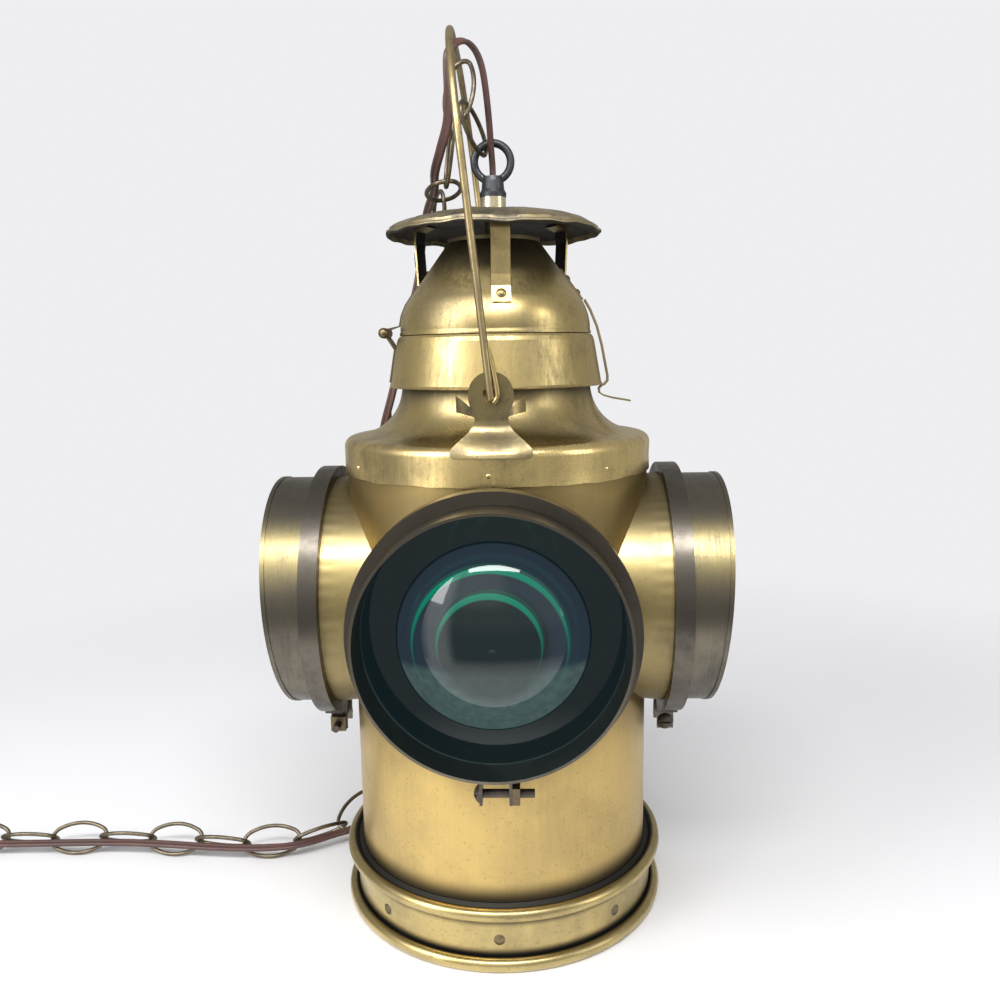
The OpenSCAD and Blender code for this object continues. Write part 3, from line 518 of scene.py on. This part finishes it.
def foot_shade(tree, place):
    """Painted shade: dark corners beside the two beads, and on the flat that meets the drum."""
    z = height_of(tree, place)
    r = radius_of(tree, place)
    wall = ramp(tree, r, 0.0965, 0.0945)
    low = ramp(tree, z, 0.0125, 0.0075)
    high = ramp(tree, z, 0.0235, 0.0285)
    corners = calc(tree, "MULTIPLY", wall, most(tree, low, high))
    flat = calc(tree, "MULTIPLY", ramp(tree, r, 0.0935, 0.0900, 0.0, 0.35), ramp(tree, z, 0.032, 0.035))
    return most(tree, corners, flat)


def canopy_shade(tree, place):
    """Painted shade on the underside."""
    return ramp(tree, height_of(tree, own_normal(tree)), -0.05, -0.35)


def shoulder_shade(tree, place):
    """Painted shade where the neck stands under the band, and inside."""
    high = ramp(tree, height_of(tree, place), 0.303, 0.319, 0.0, 0.9)
    return most(tree, high, inside_of("Z")(tree, place))


def dome_shade(tree, place):
    # Painted shade: darker towards the top under the canopy, and on the walls facing inwards.
    high = ramp(tree, height_of(tree, place), 0.366, 0.396, 0.0, 0.75)
    return most(tree, high, inside_of("Z")(tree, place))


def neck_shade(axis):
    """Painted shade: darker at the top and below, and dark inside."""
    def mask(tree, place):
        z = height_of(tree, place)
        high = ramp(tree, z, 0.222, 0.245, 0.0, 0.65)
        low = ramp(tree, z, 0.205, 0.180, 0.0, 0.5)
        return most(tree, high, low, inside_of(axis)(tree, place))
    return mask


def hood_painted_sheen(tree, place):
    """Painted highlight: a golden band where a hood's side turns upwards."""
    lift = height_of(tree, own_normal(tree))
    return calc(tree, "MULTIPLY", ramp(tree, lift, 0.12, 0.42), ramp(tree, lift, 0.80, 0.60))


def skirt_painted_sheen(tree, place):
    """Painted highlight: the shoulder's skirt and corner drawn brighter and more golden."""
    return ramp(tree, height_of(tree, place), 0.292, 0.286)


def screw_thread(tree, place):
    parts = put(tree, "SeparateXYZ", {0: place}).outputs
    along = calc(tree, "ADD", parts["X"], parts["Y"])
    return calc(tree, "MULTIPLY", calc(tree, "SINE", calc(tree, "MULTIPLY", along, 6283.0)), 2.0)


def ripples(axis):
    """Faint flutes round a neck near its mouth, left by the shrinking of the sheet."""
    def height(tree, place):
        parts = put(tree, "SeparateXYZ", {0: place}).outputs
        up = calc(tree, "SUBTRACT", parts["Z"], LENS_Z)
        turn = calc(tree, "ARCTAN2", up, parts["X" if axis == "Y" else "Y"])
        wave = calc(tree, "SINE", calc(tree, "MULTIPLY", turn, 62.0))
        near_mouth = ramp(tree, calc(tree, "ABSOLUTE", parts[axis]), 0.082, 0.094)
        return calc(tree, "MULTIPLY", calc(tree, "MULTIPLY", wave, near_mouth), 0.5)
    return height


GOLD = (0.50, 0.395, 0.175)
OLIVE = (0.29, 0.235, 0.125)
# Dark colour for specks of dirt, and for painted shade where a shade mask is given
SOOT_AND_PAINTED_SHADE = (0.040, 0.038, 0.034)
# Teal dark colour of the hoods: specks of dirt, and painted shade inside them
TEAL_SOOT_AND_PAINTED_SHADE = (0.045, 0.060, 0.058)
BRONZE = (0.175, 0.155, 0.12)
SMOKE = (0.085, 0.080, 0.073)
PALE_BRASS = (0.60, 0.465, 0.20)
DRUM_GOLD = (0.60, 0.435, 0.165)
DRUM_OLIVE = (0.40, 0.30, 0.14)

UPRIGHT = (420, 420, 22)
# Shade masks darken a colour towards its dark colour as painted shade; sheen masks brighten it as painted highlight
drum_brass = metal("drum brass", DRUM_GOLD, DRUM_OLIVE, SOOT_AND_PAINTED_SHADE, 0.33, 0.6, 14, 0.22, UPRIGHT, drum_shade)
foot_brass = metal("foot brass", GOLD, OLIVE, SOOT_AND_PAINTED_SHADE, 0.27, 0.7, 24, 0.2, (60, 60, 420), foot_shade)
shoulder_brass = metal("shoulder brass", PALE_BRASS, OLIVE, (0.07, 0.062, 0.048), 0.26, 0.8, 26, 0.5, UPRIGHT,
                       shoulder_shade, sheen=(skirt_painted_sheen, (0.88, 0.68, 0.30)))
# Painted shade inside the band
band_brass = metal("band brass", PALE_BRASS, OLIVE, SOOT_AND_PAINTED_SHADE, 0.34, 0.7, 22, 0.9, UPRIGHT, inside_of("Z"))
dome_brass = metal("dome brass", PALE_BRASS, OLIVE, (0.11, 0.098, 0.075), 0.29, 0.95, 26, 0.5, UPRIGHT, dome_shade)
canopy_brass = metal("canopy brass", (0.42, 0.345, 0.20), (0.16, 0.14, 0.105), (0.062, 0.058, 0.05), 0.38, 1.0, 75, 0.3,
                     (90, 90, 90), canopy_shade, bump=0.5)
small_brass = metal("small brass", GOLD, OLIVE, SOOT_AND_PAINTED_SHADE, 0.32, 0.8, 60, 0.4, (200, 200, 60))
ear_brass = metal("ear brass", (0.34, 0.27, 0.13), (0.15, 0.125, 0.08), SOOT_AND_PAINTED_SHADE, 0.32, 0.8, 70, 0.3, (200, 200, 60))
# Painted shade on the straps' faces that turn towards the axis
strap_brass = metal("strap brass", (0.66, 0.51, 0.23), OLIVE, SOOT_AND_PAINTED_SHADE, 0.30, 0.7, 60, 0.4, (200, 200, 60),
                    inside_of("Z"))
wire_brass = metal("wire brass", (0.42, 0.335, 0.17), (0.25, 0.19, 0.11), SOOT_AND_PAINTED_SHADE, 0.36, 0.8, 90, 0.5, (700, 700, 60))
clean_brass = metal("clean brass", (0.82, 0.72, 0.52), PALE_BRASS, OLIVE, 0.25, 0.5, 60, 0.3, (90, 90, 90))
dark_brass = metal("dark brass", (0.20, 0.155, 0.09), SMOKE, SOOT_AND_PAINTED_SHADE, 0.42, 0.6, 90, 0.3, (200, 200, 200))
neck_y = metal("neck brass front", GOLD, OLIVE, SOOT_AND_PAINTED_SHADE, 0.30, 0.5, 30, 0.2, (60, 300, 60), neck_shade("Y"), ripples("Y"))
neck_x = metal("neck brass side", GOLD, OLIVE, SOOT_AND_PAINTED_SHADE, 0.30, 0.5, 30, 0.2, (300, 60, 60), neck_shade("X"), ripples("X"))
# Painted highlight band on the hoods, and its golden colour
PAINTED_HOOD_SHEEN = (hood_painted_sheen, (0.32, 0.265, 0.13))
# Painted shade inside the hoods and a painted highlight band outside
hood_y = metal("hood bronze front", BRONZE, SMOKE, TEAL_SOOT_AND_PAINTED_SHADE, 0.31, 0.6, 24, 0.5, (40, 900, 40), inside_of("Y"),
               sheen=PAINTED_HOOD_SHEEN)
hood_x = metal("hood bronze side", BRONZE, SMOKE, TEAL_SOOT_AND_PAINTED_SHADE, 0.31, 0.6, 24, 0.5, (900, 40, 40), inside_of("X"),
               sheen=PAINTED_HOOD_SHEEN)
clamp_steel = metal("clamp steel", (0.135, 0.12, 0.10), (0.075, 0.068, 0.06), SOOT_AND_PAINTED_SHADE, 0.30, 0.6, 60, 0.3,
                    (200, 200, 200))
screw_steel = metal("screw steel", (0.12, 0.10, 0.085), SMOKE, SOOT_AND_PAINTED_SHADE, 0.42, 0.6, 200, 0.2, (300, 300, 300),
                    ripple=screw_thread)
cast_iron = metal("cast iron", (0.085, 0.09, 0.098), (0.06, 0.062, 0.068), (0.03, 0.03, 0.032), 0.42, 0.5, 180, 0.2,
                  (400, 400, 400), bump=0.5)
chain_wire = metal("chain wire", (0.21, 0.175, 0.12), (0.11, 0.095, 0.075), SOOT_AND_PAINTED_SHADE, 0.34, 0.7, 220, 0.3, (300, 300, 300))


# Glass: dark to the eye, with painted glow on two steps of its back, standing in for the light they catch from above

# Outer and inner radius of each painted glowing crescent, how far its inner edge drops, how low it sits, and its
# strength
STEPS = ((0.0402, 0.0384, 0.0018, 0.0012, 0.85), (0.0270, 0.0252, 0.0019, -0.0004, 0.8))


def make_painted_step_glow():
    """Painted glowing crescents in a lens, brightest at the top, from the place across its axis and the height above
    it.
    """
    group, given, result = new_group("painted step glow", [("Across", "Float", 0.0), ("Up", "Float", 0.0)], [("Glow", "Float")])
    total = None
    for outer, inner, drop, lower, power in STEPS:
        up = calc(group, "ADD", given["Up"], lower)
        wide = put(group, "CombineXYZ", {"X": given["Across"], "Y": up}).outputs[0]
        low = put(group, "CombineXYZ", {"X": given["Across"], "Y": calc(group, "ADD", up, drop)}).outputs[0]
        far = put(group, "VectorMath", {0: wide}, operation="LENGTH").outputs["Value"]
        near = put(group, "VectorMath", {0: low}, operation="LENGTH").outputs["Value"]
        band = calc(group, "MULTIPLY", ramp(group, far, outer, outer - 0.0007), ramp(group, near, inner, inner + 0.0009))
        lit = ramp(group, up, -outer * 0.9, outer, 0.25, 1.0)
        shown = calc(group, "MULTIPLY", calc(group, "MULTIPLY", band, calc(group, "POWER", lit, 1.6)), power)
        total = shown if total is None else calc(group, "ADD", total, shown)
    wire(group, result["Glow"], total)
    return group


PAINTED_STEP_GLOW = make_painted_step_glow()


# Emission colours of painted reflections: the floor on the lens's lower half, brighter at the bulge's edge, and a haze
# round that edge
PAINTED_FLOOR_REFLECTION = (0.030, 0.048, 0.046, 1)
PAINTED_EDGE_REFLECTION = (0.066, 0.102, 0.098, 1)
PAINTED_EDGE_HAZE = (0.020, 0.030, 0.044, 1)


def glass(name, axis, color, glow, base_glow):
    material, tree = new_material(name)
    place = put(tree, "TexCoord").outputs["Object"]
    parts = put(tree, "SeparateXYZ", {0: place}).outputs
    steps = put(tree, "Group", {"Across": calc(tree, "ADD", parts["X" if axis == "Y" else "Y"], 0.0015),
                                "Up": calc(tree, "SUBTRACT", parts["Z"], LENS_Z)}, node_tree=PAINTED_STEP_GLOW)
    outward = calc(tree, "ABSOLUTE", put(tree, "SeparateXYZ", {0: own_normal(tree)}).outputs[axis])
    raised = ramp(tree, calc(tree, "ABSOLUTE", parts[axis]), 0.1035, 0.1042)
    # Painted glow of the steps, only on the raised bulge's outward faces; all painted light here goes out as emission
    lit = calc(tree, "MULTIPLY", steps.outputs[0], calc(tree, "MULTIPLY", raised, ramp(tree, outward, 0.3, 0.6)))
    cloud = put(tree, "TexNoise", {"Vector": place, "Scale": 240.0, "Detail": 3.0}).outputs["Fac"]
    dusty = ramp(tree, cloud, 0.45, 0.75, 0.02, 0.10)
    # Painted floor reflection on the bulge's lower half, patchy with the cloud
    low = ramp(tree, calc(tree, "SUBTRACT", parts["Z"], LENS_Z), -0.010, -0.016)
    floor_reflection_mask = calc(tree, "MULTIPLY", calc(tree, "MULTIPLY", raised, low), ramp(tree, cloud, 0.3, 0.8, 0.6, 1.0))
    leaning = calc(tree, "MULTIPLY", ramp(tree, outward, 0.94, 0.90), ramp(tree, outward, 0.3, 0.5))
    # Painted faint glow over the glass, fainter off the bulge, and a painted haze round the bulge's edge
    depth = mix_colors(tree, raised, tuple(0.6 * c for c in base_glow) + (1,), (*base_glow, 1))
    depth = mix_colors(tree, calc(tree, "MULTIPLY", raised, leaning), depth, PAINTED_EDGE_HAZE)
    painted_glow_and_reflection = mix_colors(tree, floor_reflection_mask, depth, mix_colors(tree, leaning, PAINTED_FLOOR_REFLECTION, PAINTED_EDGE_REFLECTION))
    light = mix_colors(tree, lit, painted_glow_and_reflection, (*glow, 1))
    surface = put(tree, "BsdfPrincipled", {"Base Color": (*color, 1), "Roughness": dusty, "IOR": 1.5,
                                           "Transmission Weight": 1.0, "Metallic": 0.0, "Emission Color": light,
                                           "Emission Strength": 1.0})
    put(tree, "OutputMaterial", {"Surface": surface.outputs[0]})
    return material


def moulding(name, color, other, roughness):
    """Soft plastic or rubber, a little uneven in colour and gloss."""
    material, tree = new_material(name)
    place = put(tree, "TexCoord").outputs["Object"]
    cloud = put(tree, "TexNoise", {"Vector": place, "Scale": 90.0, "Detail": 4.0}).outputs["Fac"]
    grain = put(tree, "TexNoise", {"Vector": place, "Scale": 1400.0}).outputs["Fac"]
    tint = mix_colors(tree, ramp(tree, cloud, 0.35, 0.65), (*color, 1), (*other, 1))
    rough = ramp(tree, cloud, 0.3, 0.7, roughness, roughness + 0.12)
    normal = put(tree, "Bump", {"Height": grain, "Strength": 0.15, "Distance": 0.0002}).outputs[0]
    surface = put(tree, "BsdfPrincipled", {"Base Color": tint, "Roughness": rough, "Normal": normal})
    put(tree, "OutputMaterial", {"Surface": surface.outputs[0]})
    return material


# Each: glass colour, painted glow of the steps, and painted faint glow over the glass
GREEN = ((0.003, 0.050, 0.038), (0.0, 0.25, 0.15), (0.006, 0.013, 0.016))
RED = ((0.12, 0.003, 0.004), (0.42, 0.01, 0.012), (0.010, 0.003, 0.003))
cord_skin = moulding("cord skin", (0.10, 0.045, 0.038), (0.075, 0.04, 0.035), 0.32)
plug_skin = moulding("plug skin", (0.07, 0.035, 0.03), (0.055, 0.03, 0.026), 0.35)
porcelain = moulding("porcelain", (0.80, 0.78, 0.72), (0.74, 0.71, 0.64), 0.2)


# Sheet pieces with the roundness and unevenness of hand-worked brass

SHEET = 0.001
NECK_R = 0.056
SEAM_Z = 0.347
SKIRT_R = 0.091
SKIRT_Z = 0.268
SHOULDER_Z = 0.2875
COVE_R = 0.029
DOME_Z = SEAM_Z + 0.003
DOME_ARC_R = 0.030
DOME_LEAN = math.radians(36.3)
DOME_MOUTH_R = 0.027
CANOPY_R = 0.062
CANOPY_Z = 0.4045
CANOPY_H = 0.0125


def arc(center_r, center_z, radius, first, last, steps):
    """Points (radius, height) on an arc, its angles in degrees."""
    angles = [math.radians(first + (last - first) * k / steps) for k in range(steps + 1)]
    return [(center_r + radius * math.cos(a), center_z + radius * math.sin(a)) for a in angles]


def shaped(bm, change):
    """Moves each vertex by what change gives for its angle, radius and height."""
    for vert in bm.verts:
        vert.co += Vector(change(math.atan2(vert.co.y, vert.co.x), math.hypot(vert.co.x, vert.co.y), vert.co.z))
    return bm


def make_shoulder():
    """Skirt with an uneven lower edge, a soft corner, and the cove up to the neck."""
    cove_z = SHOULDER_Z + 0.002 + COVE_R
    center = NECK_R + COVE_R
    outer = [(SKIRT_R, SKIRT_Z + 0.0003), (SKIRT_R, SKIRT_Z + 0.008)]
    outer += arc(SKIRT_R - 0.0055, SHOULDER_Z - 0.004, 0.0055, 0, 76, 10)
    outer += arc(center, cove_z, COVE_R, -95, -180, 28) + [(NECK_R, SEAM_Z - 0.002)]
    inner = [(NECK_R - SHEET, SEAM_Z - 0.002)] + arc(center, cove_z, COVE_R + SHEET, -180, -95, 20)
    inner += arc(SKIRT_R - 0.0055, SHOULDER_Z - 0.004, 0.0045, 70, 0, 6)
    inner += [(SKIRT_R - SHEET, SKIRT_Z + 0.008), (SKIRT_R - SHEET, SKIRT_Z + 0.0003)]

    def uneven(angle, radius, z):
        low = max(0.0, 1 - (z - SKIRT_Z) / 0.006)
        edge = 0.00025 * math.sin(9 * angle + 0.7) + 0.0002 * math.sin(17 * angle) + 0.00015 * math.sin(31 * angle + 2)
        dent = -0.00025 * (1 + math.sin(5 * angle + 1.2)) * max(0.0, 1 - abs(z - SKIRT_Z - 0.008) / 0.01)
        return (dent * math.cos(angle), dent * math.sin(angle), low * edge)
    bm = shaped(spun(outer + inner + outer[:1], steps=192), uneven)
    shoulder = new_object("shoulder", mesh_from(bm, "shoulder"), "root")
    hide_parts("shoulder_cap")
    return shoulder


def make_dome():
    bend_r = NECK_R - DOME_ARC_R + DOME_ARC_R * math.cos(DOME_LEAN)
    top_z = DOME_Z + DOME_ARC_R * math.sin(DOME_LEAN) + (bend_r - DOME_MOUTH_R) / math.tan(DOME_LEAN)
    lean = math.degrees(DOME_LEAN)
    center = NECK_R - DOME_ARC_R
    inside_r = DOME_MOUTH_R - SHEET
    outer = [(NECK_R + 0.0005, SEAM_Z), (NECK_R + 0.0005, SEAM_Z + 0.0012), (NECK_R, SEAM_Z + 0.002)]
    outer += arc(center, DOME_Z, DOME_ARC_R, 0, lean, 20)
    outer += [(DOME_MOUTH_R + 0.0008, top_z - 0.001), (DOME_MOUTH_R, top_z), (DOME_MOUTH_R, top_z + 0.002)]
    inner = [(inside_r, top_z + 0.002), (inside_r, top_z - SHEET * math.tan(DOME_LEAN / 2))]
    inner += arc(center, DOME_Z, DOME_ARC_R - SHEET, lean, 0, 14) + [(NECK_R - SHEET, SEAM_Z)]

    def uneven(angle, radius, z):
        dent = -0.0002 * (1 + math.sin(4 * angle + 0.6 + 60 * z)) * max(0.0, 1 - abs(z - 0.362) / 0.012)
        return (dent * math.cos(angle), dent * math.sin(angle), 0)
    bm = shaped(spun(outer + inner + outer[:1], steps=160), uneven)
    dome = new_object("dome", mesh_from(bm, "dome"), "lid")
    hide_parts("lid_dome")
    return dome


def make_canopy():
    """Beaten canopy with a rolled, slightly wavy rim."""
    def height(radius):
        return CANOPY_Z + CANOPY_H * math.sqrt(max(0.0, 1 - (radius / CANOPY_R) ** 2))
    radii = [0.005 + 0.0555 * k / 26 for k in range(27)]
    top = [(r, height(r)) for r in radii]
    rim = arc(CANOPY_R - 0.0006, CANOPY_Z, 0.0012, 110, -120, 10)
    under = [(r - 0.0002, height(r) - 0.0011) for r in reversed(radii[1:])] + [(0.005, height(0.005) - 0.0011)]

    def beaten(angle, radius, z):
        out = min(1.0, max(0.0, (radius - 0.02) / 0.042))
        wave = 0.00045 * math.sin(6 * angle + 0.4) + 0.00035 * math.sin(11 * angle + 1.9) + 0.0002 * math.sin(23 * angle)
        spot = 0.0003 * noise.noise(Vector((160 * radius * math.cos(angle), 160 * radius * math.sin(angle), 0)))
        return (0, 0, out * wave + (spot if radius < 0.058 else 0))
    bm = shaped(spun(top + rim + under + top[:1], steps=192), beaten)
    canopy = new_object("canopy_sheet", mesh_from(bm, "canopy_sheet"), "lid")
    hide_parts("canopy")
    return canopy


EAR_PLATE_Y = 0.080
EAR_T = 0.0012
EAR_TOP_R = 0.0117
EAR_HOLE_Z = 0.3154
EAR_HOLE_R = 0.0043
# The ear's sheet from its hole down over the fold to the skirt's corner: distance from the body's axis, height and
# half width
EAR_ROWS = (
    (0.0800, 0.3154, 0.0117), (0.0800, 0.3120, 0.0116), (0.0800, 0.3085, 0.0108), (0.0800, 0.3055, 0.0095),
    (0.0800, 0.3030, 0.0088), (0.0801, 0.3010, 0.0089), (0.0806, 0.2990, 0.0097), (0.0820, 0.2968, 0.0113),
    (0.0840, 0.2948, 0.0134), (0.0862, 0.2928, 0.0158), (0.0882, 0.2906, 0.0184), (0.0898, 0.2882, 0.0206),
    (0.0907, 0.2860, 0.0216), (0.0911, 0.2842, 0.0212), (0.09125, 0.2830, 0.0196),
)
EAR_FOLD_Z = 0.3005
EAR_FLAT_ROWS = 4


def sheet_bent(rows, columns, bend, thickness):
    """Grid of rows and columns, put in place by bend, and given a wall."""
    bm = bmesh.new()
    bmesh.ops.create_grid(bm, x_segments=columns, y_segments=rows, size=1)
    for vert in bm.verts:
        vert.co = Vector(bend((vert.co.x + 1) / 2, (vert.co.y + 1) / 2))
    bmesh.ops.remove_doubles(bm, verts=bm.verts, dist=1e-6)
    bmesh.ops.recalc_face_normals(bm, faces=bm.faces)
    bmesh.ops.solidify(bm, geom=bm.faces[:], thickness=thickness)
    return bm


def eased(rows, v):
    """Catmull-Rom point of a list of rows, v from 0 to 1."""
    place = v * (len(rows) - 1)
    i = min(int(place), len(rows) - 2)
    p = [Vector(rows[min(max(k, 0), len(rows) - 1)]) for k in (i - 1, i, i + 1, i + 2)]
    u = place - i
    return 0.5 * (2 * p[1] + (p[2] - p[0]) * u + (2 * p[0] - 5 * p[1] + 4 * p[2] - p[3]) * u * u
                  + (3 * p[1] - p[0] - 3 * p[2] + p[3]) * u * u * u)


def ear_point(u, v):
    """Point of an ear: its round top, then the plate, the fold and the foot that wraps the shoulder's corner."""
    side = 2 * u - 1
    if v < 0.25:
        angle = math.radians(90) * v / 0.25
        return (side * EAR_TOP_R * math.sin(angle), -EAR_PLATE_Y, EAR_HOLE_Z + EAR_TOP_R * math.cos(angle))
    away, z, half = eased(EAR_ROWS, (v - 0.25) / 0.75)
    wrapped = min(1.0, max(0.0, (EAR_FOLD_Z - z) / 0.008))
    turn = side * half / away
    hollow = 0.0007 * math.sin(math.pi * min(1.0, max(0.0, (EAR_FOLD_Z - z) / 0.017))) * (1 - side * side)
    flat = Vector((side * half, -away, z))
    round_body = Vector((away * math.sin(turn), -away * math.cos(turn), z))
    return flat.lerp(round_body, wrapped) + Vector((0, hollow, -hollow))


def stop_point(side):
    """Stop beside an ear's plate: a lobe that leaves the waist, turns out and stands up."""
    def bend(u, v):
        reach = 0.0085 + 0.0085 * u
        curl = 0.0042 * u * u
        z = 0.3036 + 0.0030 * u + (0.0022 + 0.0058 * u ** 0.7) * v
        return (side * reach, -EAR_PLATE_Y - curl, z)
    return bend


def joined(parts):
    bm = bmesh.new()
    for part in parts:
        mesh = bpy.data.meshes.new("part")
        part.to_mesh(mesh)
        part.free()
        bm.from_mesh(mesh)
        bpy.data.meshes.remove(mesh)
    return bm


def cut_with(mesh, cutter_mesh):
    """Mesh with a second one cut out of it."""
    pair = [bpy.data.objects.new("cut", data) for data in (mesh, cutter_mesh)]
    for item in pair:
        scene.collection.objects.link(item)
    cut = pair[0].modifiers.new("cut", "BOOLEAN")
    cut.operation = "DIFFERENCE"
    cut.object = pair[1]
    bpy.context.view_layer.update()
    made = bpy.data.meshes.new_from_object(pair[0].evaluated_get(bpy.context.evaluated_depsgraph_get()))
    for item in pair:
        bpy.data.objects.remove(item)
    return made


def make_ear(name, node, turn):
    plate = sheet_bent(72, 28, ear_point, EAR_T)
    bmesh.ops.recalc_face_normals(plate, faces=plate.faces)
    plate_mesh = bpy.data.meshes.new("plate")
    plate.to_mesh(plate_mesh)
    plate.free()
    drill = bmesh.new()
    place = Matrix.Translation((0, -EAR_PLATE_Y, EAR_HOLE_Z)) @ Matrix.Rotation(math.radians(90), 4, "X")
    bmesh.ops.create_cone(drill, cap_ends=True, segments=40, radius1=EAR_HOLE_R, radius2=EAR_HOLE_R, depth=0.012,
                          matrix=place)
    drill_mesh = bpy.data.meshes.new("drill")
    drill.to_mesh(drill_mesh)
    drill.free()
    drilled = bmesh.new()
    drilled.from_mesh(cut_with(plate_mesh, drill_mesh))
    bm = joined([drilled] + [sheet_bent(10, 14, stop_point(side), EAR_T) for side in (-1, 1)])
    bmesh.ops.rotate(bm, verts=bm.verts, cent=(0, 0, 0), matrix=Matrix.Rotation(turn, 3, "Z"))
    ear = new_object(name, mesh_from(bm, name), "root")
    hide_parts(node)
    return ear


BAIL_LEG_Y = 0.0827
BAIL_PIVOT_Z = 0.3132
BAIL_LEAN = math.radians(6)
# Points of a leg's turned-back end: beside the leg, above the pivot, and how thick
HAIRPIN = ((0.0012, -0.0022, 1.0), (0.0034, 0.0002, 1.0), (0.0037, 0.0040, 1.0), (0.0034, 0.0100, 0.95),
           (0.0028, 0.0170, 0.85), (0.0021, 0.0235, 0.7), (0.0016, 0.0262, 0.45))
HAIRPIN_R = 0.0015


def make_bail_ends():
    """The wire's ends, turned back up against the legs."""
    data = bpy.data.curves.new("bail_ends", "CURVE")
    data.dimensions = "3D"
    data.bevel_depth = HAIRPIN_R
    data.bevel_resolution = 4
    data.use_fill_caps = True
    for side in (-1, 1):
        spline = data.splines.new("POLY")
        steps = 24
        spline.points.add(steps)
        for k, point in enumerate(spline.points):
            across, up, thick = eased(HAIRPIN, k / steps)
            x = across * math.cos(BAIL_LEAN) - up * math.sin(BAIL_LEAN)
            z = across * math.sin(BAIL_LEAN) + up * math.cos(BAIL_LEAN)
            point.co = (x, side * BAIL_LEG_Y, BAIL_PIVOT_Z + z, 1)
            point.radius = thick
    tube = bpy.data.objects.new("tube", data)
    scene.collection.objects.link(tube)
    bpy.context.view_layer.update()
    bm = bmesh.new()
    bm.from_mesh(bpy.data.meshes.new_from_object(tube.evaluated_get(bpy.context.evaluated_depsgraph_get())))
    bpy.data.objects.remove(tube)
    return new_object("bail_ends", mesh_from(bm, "bail_ends"), "bail")


PUNCH_TURNS = (-57, -1, 42, 123, 179, 222)
PUNCH_Z = 0.2745
PUNCH_R = 0.0013


def make_punch_marks():
    """Small raised marks where the skirt is punched onto the drum."""
    bm = bmesh.new()
    for turn in PUNCH_TURNS:
        spot = Matrix.Rotation(math.radians(turn - 90), 4, "Z") @ Matrix.Translation((SKIRT_R - 0.0003, 0, PUNCH_Z))
        bmesh.ops.create_uvsphere(bm, u_segments=20, v_segments=12, radius=PUNCH_R,
                                  matrix=spot @ Matrix.Diagonal((0.5, 1, 1, 1)))
    return new_object("punch_marks", mesh_from(bm, "punch_marks"), "root")


shoulder = make_shoulder()
ears = [make_ear("ear_sheet_front", "ear_front", 0), make_ear("ear_sheet_back", "ear_back", math.pi)]
bail_ends = make_bail_ends()
punch_marks = make_punch_marks()
dome = make_dome()
canopy = make_canopy()

FINISHES = {
    "body_shell": drum_brass, "base_collar": foot_brass, "base_plate": dark_brass, "base_rivets": dark_brass,
    "shoulder_cap": shoulder_brass, "chimney_band": band_brass, "clamp_screws": screw_steel,
    "clamp_nuts": dark_brass, "ear_front": ear_brass, "ear_back": ear_brass, "bail": wire_brass,
    "hinge_lower_leaf": dark_brass, "hinge_upper_leaf": dark_brass, "hinge_pin": dark_brass,
    "lid_dome": dome_brass, "canopy": canopy_brass, "canopy_straps": strap_brass, "strap_rivets": small_brass,
    "eye_collar": clean_brass, "eye_loop": cast_iron, "lamp_tube": dark_brass, "lamp_socket": clean_brass,
    "socket_insulator": porcelain, "latch_plate": small_brass, "latch_spring": small_brass,
    "latch_rivets": dark_brass, "chain_standing": chain_wire, "chain_hanging": chain_wire,
    "chain_floor": chain_wire, "cord_run": cord_skin, "cord_coil": cord_skin, "plug": plug_skin,
    "plug_prongs": clean_brass,
    "lens_front": glass("green glass", "Y", *GREEN), "lens_left": glass("red glass", "X", *RED),
}
FINISHES["lens_back"] = FINISHES["lens_front"]
FINISHES["lens_right"] = FINISHES["lens_left"]
for side in SIDES:
    across = side in ("front", "back")
    FINISHES["neck_" + side] = neck_y if across else neck_x
    FINISHES["hood_" + side] = hood_y if across else hood_x
    FINISHES["clamp_" + side] = clamp_steel
for name, material in FINISHES.items():
    for place in nodes[name].material_slots:
        place.material = material
PIECE_FINISHES = ((cord, cord_skin), (shoulder, shoulder_brass), (dome, dome_brass), (canopy, canopy_brass),
                  (ears[0], ear_brass), (ears[1], ear_brass), (bail_ends, small_brass), (punch_marks, shoulder_brass))
for piece, material in PIECE_FINISHES:
    piece.data.materials.append(material)
